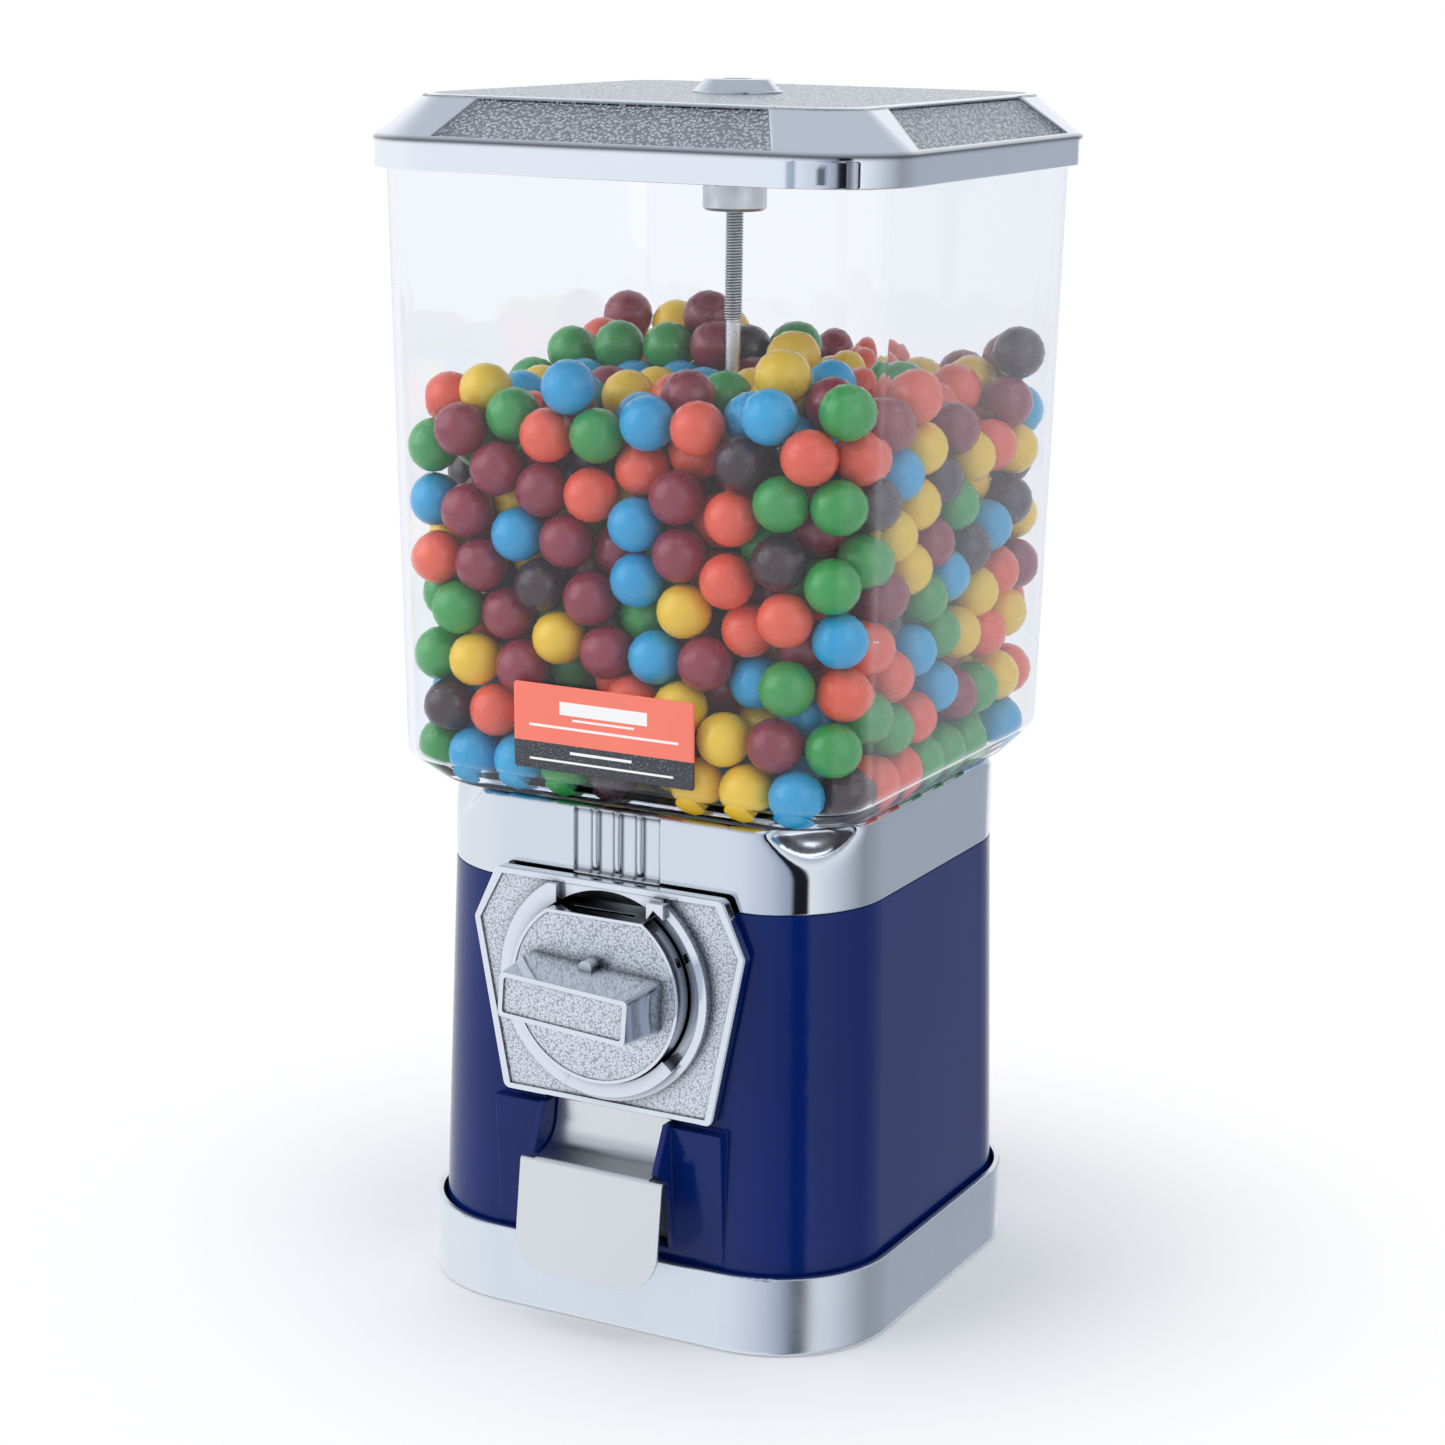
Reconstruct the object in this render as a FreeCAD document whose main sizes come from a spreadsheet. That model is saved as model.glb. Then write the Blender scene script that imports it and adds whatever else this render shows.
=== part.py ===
import FreeCAD, Part
import math
import os
import re
import Sketcher
from FreeCAD import Placement, Rotation, Vector

# Coin-operated gumball machine, countertop size. Millimetres, +Z up.
# The origin is on the clamping rod's axis at the underside of the base pad,
# and the coin dial faces -Y.

os.makedirs("parts", exist_ok=True)
doc = FreeCAD.newDocument("gumball_machine")

# ---------------------------------------------------------------- driving sizes
SIZES = [
    # base and body
    ("pad_half", 78, "half width of the foam pad under the base"),
    ("pad_corner", 33, "corner radius of the foam pad"),
    ("pad_thick", 1.5, "foam pad thickness"),
    ("pad_proud", 0.5, "how far the pad stands below the tray"),
    ("tray_half", 89.3, "half width of the base tray"),
    ("tray_corner", 44, "corner radius of the base tray"),
    ("tray_top", 29, "height of the tray's upper edge"),
    ("tray_wall", 2.2, "tray wall"),
    ("tray_floor", 3, "tray floor thickness"),
    ("boss_radius", 15, "boss that hides the rod's lower nut"),
    ("boss_top", 17, "height of that boss"),
    ("nut_pocket", 9, "radius of the nut pocket"),
    ("body_half_low", 86.05, "half width of the body at its foot"),
    ("body_corner_low", 40.5, "corner radius of the body at its foot"),
    ("body_half_top", 82.31, "half width of the body at the collar"),
    ("body_corner_top", 39.6, "corner radius of the body at the collar"),
    ("body_top", 156.8, "height of the body's upper edge"),
    ("body_wall", 2.5, "body wall"),
    ("seam", 0.2, "hairline joint between body and collar"),
    ("collar_top", 186.7, "height of the collar's seat, where the hopper rests"),
    ("collar_wall", 2.5, "collar wall"),
    ("collar_round", 3.2, "rounding of the collar's upper edge"),
    ("neck_opening", 70, "radius of the round opening in the collar"),
    ("dip_low", 172.5, "height of the corner dips at the corner"),
    ("window_half", 16.7, "half width of the sunk window for the ribs"),
    ("window_sink", 1.3, "depth of that window"),
    ("rib_round", 1.4, "rib radius"),
    ("rib_pitch", 8.7, "spacing of the ribs"),
    ("dip_run", 4.9, "how far a corner dip leans inwards"),
    # dispensing deck and wheel
    ("deck_low", 131.4, "underside of the deck"),
    ("deck_plate", 2, "thickness of the deck's plate"),
    ("deck_half", 78.9, "half width of the deck's plate"),
    ("deck_top", 139.6, "height of the running surface"),
    ("deck_skin", 3, "thickness of the running surface"),
    ("bowl_inner", 65, "inner radius of the bowl round the wheel"),
    ("bowl_wall", 1.6, "bowl wall"),
    ("bowl_top", 184, "height of the bowl's edge"),
    ("ball", 19, "gumball diameter"),
    ("pocket_room", 4, "how much wider a wheel pocket is than a ball"),
    ("pocket_pitch", 35, "radius from the rod to the pockets' centres"),
    ("pocket_count", 6, "pockets in the wheel"),
    ("wheel_radius", 62.5, "wheel's outer radius"),
    ("wheel_lift", 0.4, "gap between wheel and running surface"),
    ("wheel_thick", 16, "wheel thickness"),
    ("bush_radius", 5, "outer radius of the wheel's bush"),
    ("running", 0.06, "radial running clearance"),
    ("pinion_teeth", 8, "teeth of the drive gear"),
    ("pinion_pitch", 9.7, "pitch radius of the drive gear"),
    ("tooth_out", 1.7, "tooth height above the pitch line"),
    ("tooth_in", 2.4, "tooth depth below the pitch line"),
    ("crown_radius", 58.2, "mean radius of the crown of teeth under the wheel"),
    ("crown_width", 8, "radial width of the crown"),
    ("rod_radius", 3, "M6 rod, major radius"),
    ("rod_shank", 2.65, "plain shank radius"),
    ("thread_low", 346, "lower end of the upper thread"),
    # screws
    ("screw_radius", 1.6, "M3 self-tapping screw with its thread, radius"),
    ("screw_room", 2.1, "radius of a clearance hole for it"),
    ("screw_head", 3.8, "radius of its head"),
    ("screw_head_high", 2.4, "height of its head"),
    # hopper
    ("hopper_half_top", 93.8, "half width of the hopper at its rim"),
    ("hopper_corner_top", 22.5, "corner radius at the rim"),
    ("hopper_half_low", 89.6, "half width above the chamfer"),
    ("hopper_corner_low", 21.6, "corner radius above the chamfer"),
    ("hopper_shoulder", 197, "height where the chamfer starts"),
    ("hopper_half_seat", 81, "half width of the hopper's seat"),
    ("hopper_corner_seat", 27, "corner radius of the seat"),
    ("hopper_top", 404, "height of the hopper's rim"),
    ("hopper_wall", 2.5, "hopper wall"),
    ("neck_gap", 0.7, "gap between bowl and hopper neck"),
    ("neck_low", 177, "lower edge of the hopper neck"),
    # lid and lock
    ("lid_half", 100, "half width of the lid"),
    ("lid_corner", 33, "corner radius of the lid's skirt"),
    ("lid_low", 400.75, "lower edge of the skirt"),
    ("lid_shoulder", 410.8, "height where the slopes start"),
    ("lid_plate_half", 82, "half width of the lid's top plate"),
    ("lid_plate_corner", 15, "corner radius of the top plate"),
    ("lid_plate", 425.25, "height of the top plate"),
    ("lid_wall", 2.2, "lid wall"),
    ("lid_flange", 8.5, "width of the lid's inner rest on the hopper's rim"),
    ("panel_sink", 0.9, "depth of the grained panels in the lid's slopes"),
    ("nick_half", 12, "half width of the nicks in the lid's corners"),
    ("nick_deep", 1.6, "depth of those nicks"),
    ("lock_radius", 15.8, "lock cap's flange radius"),
    ("lock_face", 11.3, "lock cap's face radius"),
    ("total_height", 430, "height of the whole machine"),
    ("socket_radius", 11.2, "socket under the lid"),
    ("socket_low", 385, "lower end of the socket"),
    ("plug_radius", 5.2, "lock plug radius"),
    # coin mechanism
    ("dial_height", 126, "height of the dial's axis"),
    ("plate_back", 84.7, "distance of the face plate's back from the rod"),
    ("plate_front", 89.1, "distance of the face plate's front from the rod"),
    ("plate_top_half", 44.5, "half width of the face plate's top"),
    ("plate_wide_half", 53.4, "half width at the plate's shoulders"),
    ("plate_low_half", 41.4, "half width of the plate's foot"),
    ("plate_top", 162.5, "height of the plate's top"),
    ("plate_wide", 143, "height of the plate's shoulders"),
    ("plate_low", 81.4, "height of the plate's foot"),
    ("plate_border", 2.3, "width of the raised border"),
    ("plate_sink", 0.8, "depth of the grained field"),
    ("dial_radius", 32.8, "dial radius"),
    ("dial_gap", 0.6, "gap round the dial"),
    ("dial_front", 98, "distance of the dial's face from the rod"),
    ("dial_back", 80, "distance of the dial's back from the rod"),
    ("dial_flat", 27, "height of the coin flat above the dial's axis"),
    ("ring_radius", 40.6, "outer radius of the bezel ring"),
    ("ring_front", 92, "distance of the ring's face from the rod"),
    ("guard_front", 95.5, "distance of the coin guard's face from the rod"),
    ("notch_half", 18.4, "half width of the coin notch"),
    ("bar_half", 24.8, "half length of the handle bar's face"),
    ("bar_high", 8, "half height of the handle bar's face"),
    ("bar_root", 1.7, "how much longer each way the bar is at its root"),
    ("bar_front", 119.5, "distance of the bar's face from the rod"),
    ("bar_turn", 3.5, "the bar's lean from level, in degrees"),
    ("housing_radius", 34.8, "mechanism housing radius"),
    ("housing_back", 67.2, "distance of the housing's back from the rod"),
    ("housing_wall", 3, "housing back wall"),
    ("shaft_radius", 4, "dial shaft radius"),
    ("ratchet_radius", 20.8, "ratchet wheel, tip radius"),
    ("ratchet_teeth", 12, "ratchet teeth"),
    ("bracket_half", 43, "half width of the clamping bracket"),
    # chute and flap
    ("chute_half", 22, "half width inside the chute"),
    ("chute_wall", 1.6, "chute wall"),
    ("chute_knee", 98, "height where the chute turns forward"),
    ("mouth_half", 23.4, "half width between the lips"),
    ("mouth_low", 33, "lower edge of the mouth"),
    ("lip_thick", 2.2, "lip thickness"),
    ("cheek_half", 45, "half width of the raised panel"),
    ("cheek_top", 78.5, "height of the raised panel's top"),
    ("cheek_front", 89, "distance of the panel's top edge from the rod"),
    ("pin_radius", 1.5, "flap pin radius"),
    ("pin_back", 80.5, "distance of the flap pin from the rod"),
    ("pin_height", 81, "height of the flap pin"),
    ("flap_thick", 1, "flap sheet thickness"),
    ("flap_half", 28.2, "half width of the flap's face"),
    ("flap_low", 22.2, "height of the flap's lower edge"),
    ("flap_corner", 14, "corner radius of the flap"),
    ("flap_bend", 62.3, "height of the bend above the flap's face"),
    # label
    ("label_half", 35, "half width of the label"),
    ("label_low", 199.6, "height of the label's lower edge"),
    ("label_high", 30.2, "height of the label"),
    ("label_thick", 0.3, "label thickness"),
]
sheet = doc.addObject("Spreadsheet::Sheet", "dims")
for row, (alias, number, note) in enumerate(SIZES, start=1):
    sheet.set(f"A{row}", alias)
    sheet.set(f"B{row}", str(number))
    sheet.set(f"C{row}", note)
    sheet.setAlias(f"B{row}", alias)
doc.recompute()
ALIASES = {alias for alias, _, _ in SIZES}
BIG = 400          # reach of a cutting tool that has to pass right through
nodes = {}


# ---------------------------------------------------------------- helpers
def words(text):
    """An expression with every driving size pointed at its cell."""
    return re.sub(r"[a-z_]+", lambda w: f"dims.{w[0]}" if w[0] in ALIASES else w[0], str(text))


def size(text):
    """The present number of an expression."""
    number = sheet.evalExpression(words(text))
    return float(getattr(number, "Value", number))


def bind(thing, prop, text):
    thing.setExpression(prop, words(text))
    return thing


def at(thing, spot, turn=None):
    """Places a thing at three expressions, turned first if turn is given."""
    if turn is not None:
        thing.Placement = Placement(Vector(0, 0, 0), turn)
    for axis, text in zip("xyz", spot):
        bind(thing, f"Placement.Base.{axis}", text)
    return thing


def node(name, thing):
    thing.Label = name
    nodes[name] = thing
    return thing


def block(across, deep, high):
    """A box between two expressions along each axis."""
    box = doc.addObject("Part::Box", "block")
    for prop, (low, top) in zip(("Length", "Width", "Height"), (across, deep, high)):
        bind(box, prop, f"({top}) - ({low})")
    return at(box, (across[0], deep[0], high[0]))


UPRIGHT = Rotation()
BACKWARD = Rotation(Vector(1, 0, 0), -90)     # a cylinder's own axis turned to +Y
FORWARD = Rotation(Vector(1, 0, 0), 90)       # ... to -Y
SIDEWAYS = Rotation(Vector(0, 1, 0), 90)      # ... to +X


def bar(radius, low, top, centre=("0", "0"), along="z", start=0, sweep=360):
    """A cylinder, or a sector of one, from low to top along an axis; centre gives the other two."""
    rod = doc.addObject("Part::Cylinder", "bar")
    bind(rod, "Radius", radius)
    bind(rod, "Height", f"({top}) - ({low})")
    rod.Angle = sweep
    spot = {"x": (low, *centre), "y": (centre[0], low, centre[1]), "z": (*centre, low)}[along]
    turn = {"x": SIDEWAYS, "y": Rotation(Vector(0, 1, 0), start) * BACKWARD, "z": UPRIGHT}[along]
    return at(rod, spot, turn)


def fuse(*pieces):
    if len(pieces) == 1:
        return pieces[0]
    joined = doc.addObject("Part::MultiFuse", "fuse")
    joined.Shapes = list(pieces)
    joined.Refine = True
    return joined


def cut(base, *tools):
    less = doc.addObject("Part::Cut", "cut")
    less.Base = base
    less.Tool = fuse(*tools)
    return less


def group(*pieces):
    together = doc.addObject("Part::Compound", "group")
    together.Links = list(pieces)
    return together


def turned(piece, degrees, axis=Vector(0, 0, 1)):
    """A copy of a piece turned about an axis through the origin."""
    copy = doc.addObject("Part::Compound", "turned")
    copy.Links = [piece]
    copy.Placement = Placement(Vector(0, 0, 0), Rotation(axis, degrees))
    return copy


def rounded_outline(sketch, half_x, half_y, corner):
    """A rectangle with round corners about the sketch's origin, every size bound."""
    hx, hy, r = size(half_x), size(half_y), size(corner)
    quarters = [(1, 1, 0), (-1, 1, 90), (-1, -1, 180), (1, -1, 270)]
    turn = Sketcher.Constraint
    ends = []
    for sx, sy, start in quarters:
        middle = Vector(sx * (hx - r), sy * (hy - r), 0)
        circle = Part.Circle(middle, Vector(0, 0, 1), r)
        arc = sketch.addGeometry(
            Part.ArcOfCircle(circle, math.radians(start), math.radians(start + 90)), False
        )
        ends.append((arc, sx, sy))
        for kind, sign, half in (("DistanceX", sx, half_x), ("DistanceY", sy, half_y)):
            reach = sign * (size(half) - r)
            spot = sketch.addConstraint(turn(kind, -1, 1, arc, 3, reach))
            bind(sketch, f"Constraints[{spot}]", f"{sign} * (({half}) - ({corner}))")
    first = sketch.addConstraint(turn("Radius", ends[0][0], r))
    bind(sketch, f"Constraints[{first}]", corner)
    for arc, _, _ in ends[1:]:
        sketch.addConstraint(turn("Equal", ends[0][0], arc))
    for (arc, _, _), (following, _, _) in zip(ends, ends[1:] + ends[:1]):
        here = sketch.getPoint(arc, 2)
        there = sketch.getPoint(following, 1)
        side = sketch.addGeometry(Part.LineSegment(here, there), False)
        sketch.addConstraint(turn("Tangent", arc, 2, side, 1))
        sketch.addConstraint(turn("Tangent", side, 2, following, 1))


def polygon_outline(sketch, points):
    """A closed run of straight lines through bound points."""
    places = [Vector(size(x), size(y), 0) for x, y in points]
    sides = []
    for here, there in zip(places, places[1:] + places[:1]):
        sides.append(sketch.addGeometry(Part.LineSegment(here, there), False))
    for side, following in zip(sides, sides[1:] + sides[:1]):
        sketch.addConstraint(Sketcher.Constraint("Coincident", side, 2, following, 1))
    for side, place, (x, y) in zip(sides, places, points):
        for kind, axis, here, text in (("DistanceX", -2, place.x, x), ("DistanceY", -1, place.y, y)):
            if str(text) == "0":
                sketch.addConstraint(Sketcher.Constraint("PointOnObject", side, 1, axis))
                continue
            spot = sketch.addConstraint(Sketcher.Constraint(kind, -1, 1, side, 1, here))
            bind(sketch, f"Constraints[{spot}]", text)


def circle_outline(sketch, radius, across="0", up="0"):
    disc = sketch.addGeometry(
        Part.Circle(Vector(size(across), size(up), 0), Vector(0, 0, 1), size(radius)), False
    )
    spot = sketch.addConstraint(Sketcher.Constraint("Radius", disc, size(radius)))
    bind(sketch, f"Constraints[{spot}]", radius)
    for kind, axis, text in (("DistanceX", -2, across), ("DistanceY", -1, up)):
        if str(text) == "0":
            sketch.addConstraint(Sketcher.Constraint("PointOnObject", disc, 3, axis))
            continue
        spot = sketch.addConstraint(Sketcher.Constraint(kind, -1, 1, disc, 3, size(text)))
        bind(sketch, f"Constraints[{spot}]", text)


def loose_sketch(height, outline, *sizes):
    sketch = doc.addObject("Sketcher::SketchObject", "section")
    outline(sketch, *sizes)
    return at(sketch, ("0", "0", height))


def prism(half_x, half_y, corner, low, top):
    """A rounded rectangle drawn straight up from low to top."""
    solid = doc.addObject("Part::Extrusion", "prism")
    solid.Base = loose_sketch(low, rounded_outline, half_x, half_y, corner)
    solid.DirMode = "Custom"
    solid.Dir = Vector(0, 0, 1)
    bind(solid, "LengthFwd", f"({top}) - ({low})")
    solid.Solid = True
    return solid


def taper(low, half_low, corner_low, top, half_top, corner_top, deep_low=None, deep_top=None):
    """A solid drawn between two rounded rectangles at two heights."""
    solid = doc.addObject("Part::Loft", "taper")
    solid.Sections = [
        loose_sketch(low, rounded_outline, half_low, deep_low or half_low, corner_low),
        loose_sketch(top, rounded_outline, half_top, deep_top or half_top, corner_top),
    ]
    solid.Solid = True
    solid.Ruled = True
    return solid


def slab(points, low, top, along="x"):
    """A polygon drawn along X (points are y, z) or along -Y (points are x, z)."""
    sketch = doc.addObject("Sketcher::SketchObject", "section")
    polygon_outline(sketch, points)
    solid = doc.addObject("Part::Extrusion", "slab")
    solid.Base = sketch
    solid.DirMode = "Custom"
    bind(solid, "LengthFwd", f"({top}) - ({low})")
    solid.Solid = True
    if along == "x":
        solid.Dir = Vector(1, 0, 0)
        return at(sketch, (low, "0", "0"), Rotation(Vector(1, 1, 1), 120)) and solid
    solid.Dir = Vector(0, -1, 0)
    return at(sketch, ("0", f"-({low})", "0"), FORWARD) and solid


def corner_tool(points, half_width):
    """Four like prisms, one on each corner's diagonal; points are (distance out, height)."""
    reach = slab(points, f"-({half_width})", half_width)
    return [turned(reach, 45 + 90 * step) for step in range(4)]


# PartDesign helpers: each body is built about its own origin and then placed
def new_body(name, spot=None):
    body = doc.addObject("PartDesign::Body", name)
    if spot is not None:
        at(body, spot)
    return node(name, body)


def origin_part(body, role):
    return next(part for part in body.Origin.OriginFeatures if part.Role == role)


def sketch_in(body, plane, outline, *sizes, offset="0"):
    sketch = body.newObject("Sketcher::SketchObject", "outline")
    sketch.AttachmentSupport = [(origin_part(body, plane), "")]
    sketch.MapMode = "FlatFace"
    if offset != "0":
        bind(sketch, "AttachmentOffset.Base.z", offset)
    outline(sketch, *sizes)
    return sketch


def volume(body):
    doc.recompute()
    return body.Shape.Volume


def grow(body, kind, sketch, length=None, back=False):
    """A Pad or a Pocket; a Pocket that removes nothing stops the build."""
    before = volume(body) if kind == "Pocket" else 0.0
    feature = body.newObject(f"PartDesign::{kind}", kind.lower())
    feature.Profile = sketch
    feature.Reversed = back
    if length is None:
        feature.Type = "ThroughAll"
        feature.Midplane = True
    else:
        bind(feature, "Length", length)
    if kind == "Pocket" and volume(body) >= before - 1e-3:
        raise RuntimeError(f"{body.Label}: a pocket removes nothing")
    return feature


def spin(body, kind, sketch):
    """A Revolution or a Groove about the body's own Z axis."""
    feature = body.newObject(f"PartDesign::{kind}", kind.lower())
    feature.Profile = sketch
    feature.ReferenceAxis = (origin_part(body, "Z_Axis"), [""])
    feature.Angle = 360
    return feature


def repeat(body, features, role, count):
    pattern = body.newObject("PartDesign::PolarPattern", "pattern")
    pattern.Originals = list(features)
    pattern.Axis = (origin_part(body, role), [""])
    pattern.Angle = 360
    bind(pattern, "Occurrences", count)
    body.Tip = pattern
    return pattern


def soften(body, kind, amount, wanted):
    """A Fillet or Chamfer on every edge that the test picks."""
    doc.recompute()
    base = body.Tip
    names = [f"Edge{i + 1}" for i, edge in enumerate(base.Shape.Edges) if wanted(edge)]
    feature = body.newObject(f"PartDesign::{kind}", kind.lower())
    feature.Base = (base, names)
    bind(feature, "Radius" if kind == "Fillet" else "Size", amount)
    return feature


def level_edges(height):
    """Picks the edges that lie flat at a height."""
    z = size(height)
    return lambda edge: abs(edge.BoundBox.ZMin - z) < 1e-4 and abs(edge.BoundBox.ZMax - z) < 1e-4


def depth_edges(distance):
    """Picks the edges that lie in a plane facing the front."""
    y = -size(distance)
    return lambda edge: abs(edge.BoundBox.YMin - y) < 1e-4 and abs(edge.BoundBox.YMax - y) < 1e-4


# ---------------------------------------------------------------- base
TRAY_FOOT = "pad_proud"
TRAY_UNDER = "pad_thick"
TRAY_INSIDE = "pad_thick + tray_floor"
ROD_HOLE = "rod_radius + 0.3"


def make_base():
    pad = new_body("base_pad")
    grow(pad, "Pad", sketch_in(pad, "XY_Plane", rounded_outline, "pad_half", "pad_half", "pad_corner"),
         "pad_thick")

    tray = new_body("base_tray")
    outline = ("tray_half", "tray_half", "tray_corner")
    grow(tray, "Pad", sketch_in(tray, "XY_Plane", rounded_outline, *outline, offset=TRAY_FOOT),
         f"tray_top - {TRAY_FOOT}")
    soften(tray, "Fillet", "1.6", level_edges(TRAY_FOOT))
    soften(tray, "Fillet", "0.8", level_edges("tray_top"))
    inner = ("tray_half - tray_wall", "tray_half - tray_wall", "tray_corner - tray_wall")
    grow(tray, "Pocket", sketch_in(tray, "XY_Plane", rounded_outline, *inner, offset="tray_top"),
         f"tray_top - ({TRAY_INSIDE})")
    under = ("pad_half + 0.3", "pad_half + 0.3", "pad_corner + 0.3")
    grow(tray, "Pocket", sketch_in(tray, "XY_Plane", rounded_outline, *under, offset=TRAY_UNDER),
         f"{TRAY_UNDER} - {TRAY_FOOT}")
    grow(tray, "Pad", sketch_in(tray, "XY_Plane", circle_outline, "boss_radius", offset=TRAY_UNDER),
         f"boss_top - {TRAY_UNDER}")
    grow(tray, "Pocket", sketch_in(tray, "XY_Plane", circle_outline, "nut_pocket", offset="boss_top - 3"),
         f"boss_top - 3 - {TRAY_UNDER}")
    grow(tray, "Pocket", sketch_in(tray, "XY_Plane", circle_outline, ROD_HOLE))


def body_outside():
    return taper(TRAY_INSIDE, "body_half_low", "body_corner_low",
                 "body_top", "body_half_top", "body_corner_top")


def make_body_shell():
    """A drafted square shell with the raised panel, the lips and the lugs of the chute mouth."""
    low = TRAY_INSIDE
    outer = body_outside()
    inner = taper(f"{low} - 0.01", "body_half_low - body_wall", "body_corner_low - body_wall",
                  "body_top + 0.01", "body_half_top - body_wall", "body_corner_top - body_wall")
    foot = "tray_top + 0.5"
    rise = "(body_top - pad_thick - tray_floor)"
    flush = f"(body_half_low - (body_half_low - body_half_top) * ({foot} - {low}) / {rise})"
    panel = slab([("-(body_half_top - 1)", foot), ("-(body_half_top - 1)", "cheek_top"),
                  ("-cheek_front", "cheek_top"), (f"-({flush} + 0.3)", foot)],
                 "-cheek_half", "cheek_half")
    lip_points = [("-(body_half_top - 1)", "mouth_low"), ("-(body_half_top - 1)", "cheek_top + 1.2"),
                  ("-(cheek_front + 1.6)", "cheek_top + 1.2"), ("-(cheek_front + 9.4)", "flap_bend + 1.6"),
                  ("-(cheek_front + 7.4)", "flap_bend + 0.5"), ("-(cheek_front + 1)", "flap_bend - 4"),
                  (f"-({flush} + 0.6)", "mouth_low")]
    lips = [slab(lip_points, "mouth_half", "mouth_half + lip_thick"),
            slab(lip_points, "-(mouth_half + lip_thick)", "-mouth_half")]
    lug_ends = (("mouth_half", "mouth_half + lip_thick"), ("-(mouth_half + lip_thick)", "-mouth_half"))
    lug_deep = ("-(plate_back - 0.6)", "-(pin_back - 4.5)")
    lugs = [block(ends, lug_deep, ("cheek_top - 4", "pin_height + 4")) for ends in lug_ends]
    shell = cut(outer, inner)
    solid = fuse(shell, panel, *lips, *lugs)
    mouth = block(("-mouth_half", "mouth_half"), (f"-{BIG}", "-(body_half_top - 8)"),
                  ("mouth_low", "pin_height + 8"))
    window = block(("-(housing_radius + 0.8)", "housing_radius + 0.8"), (f"-{BIG}", "-(body_half_top - 8)"),
                   ("dial_height - housing_radius - 0.8", "body_top + 1"))
    pin_hole = bar("pin_radius + 0.02", "-(mouth_half + lip_thick + 1)", "mouth_half + lip_thick + 1",
                   ("-pin_back", "pin_height"), "x")
    holes = [bar("screw_room", "-plate_back", "-(body_half_top - 8)", spot, "y") for spot in MECH_SCREWS]
    node("body_shell", cut(solid, mouth, window, pin_hole, *holes))


MECH_SCREWS = [("39", "150"), ("-39", "150"), ("38", "93"), ("-38", "93")]
DECK_SCREWS = [("57", "57"), ("-57", "57"), ("57", "-57"), ("-57", "-57")]


def make_collar():
    """Plated collar: corner dips clear the hopper's overhanging corners, ribs above the dial."""
    low = "body_top + seam"
    outline = ("body_half_top", "body_half_top", "body_corner_top")
    collar = doc.addObject("PartDesign::Body", "collar_blank")
    grow(collar, "Pad", sketch_in(collar, "XY_Plane", rounded_outline, *outline, offset=low),
         f"collar_top - ({low})")
    soften(collar, "Fillet", "collar_round", level_edges("collar_top"))
    corner_out = "((body_half_top - body_corner_top) * sqrt(2) + body_corner_top)"

    def dips(inset, low_end, top_end):
        lean = "dip_run / (collar_top - dip_low)"
        foot = f"{corner_out} - ({inset}) + ({lean}) * (dip_low - ({low_end}))"
        head = f"{corner_out} - ({inset}) - ({lean}) * (({top_end}) - dip_low)"
        return corner_tool([(foot, low_end), (f"{BIG}", low_end), (f"{BIG}", top_end), (head, top_end)], "90")

    wall = "collar_wall"
    cavity = prism(f"body_half_top - {wall}", f"body_half_top - {wall}", f"body_corner_top - {wall}",
                   f"{low} - 0.01", f"collar_top - {wall}")
    cavity = cut(cavity, *dips(f"{wall} + 0.6", "dip_low - 30", "collar_top + 1"))
    blank = cut(collar, *dips("0", "dip_low", "collar_top + 1"), cavity)
    opening = bar("neck_opening", "collar_top - 10", "collar_top + 1")
    ribs_from_to = ("plate_top + 0.8", "collar_top - 1.2")
    sunk_face = "-(body_half_top - window_sink)"
    channel = block(("-window_half", "window_half"), (f"-{BIG}", sunk_face), ribs_from_to)
    ribs = [bar("rib_round", *ribs_from_to, (f"{step} * rib_pitch", sunk_face)) for step in (-1, 0, 1)]
    notch = block(("-24", "24"), (f"-{BIG}", "-(body_half_top - 8)"),
                  (f"{low} - 1", "dial_height + housing_radius + 1"))
    posts = [bar("5", "deck_low + deck_plate", f"collar_top - {wall} / 2", spot) for spot in DECK_SCREWS]
    drills = [bar("screw_radius", "deck_low", "deck_low + deck_plate + 12", spot) for spot in DECK_SCREWS]
    body = fuse(cut(blank, opening, channel, notch), *ribs, *posts)
    node("collar", cut(body, *drills))


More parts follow.
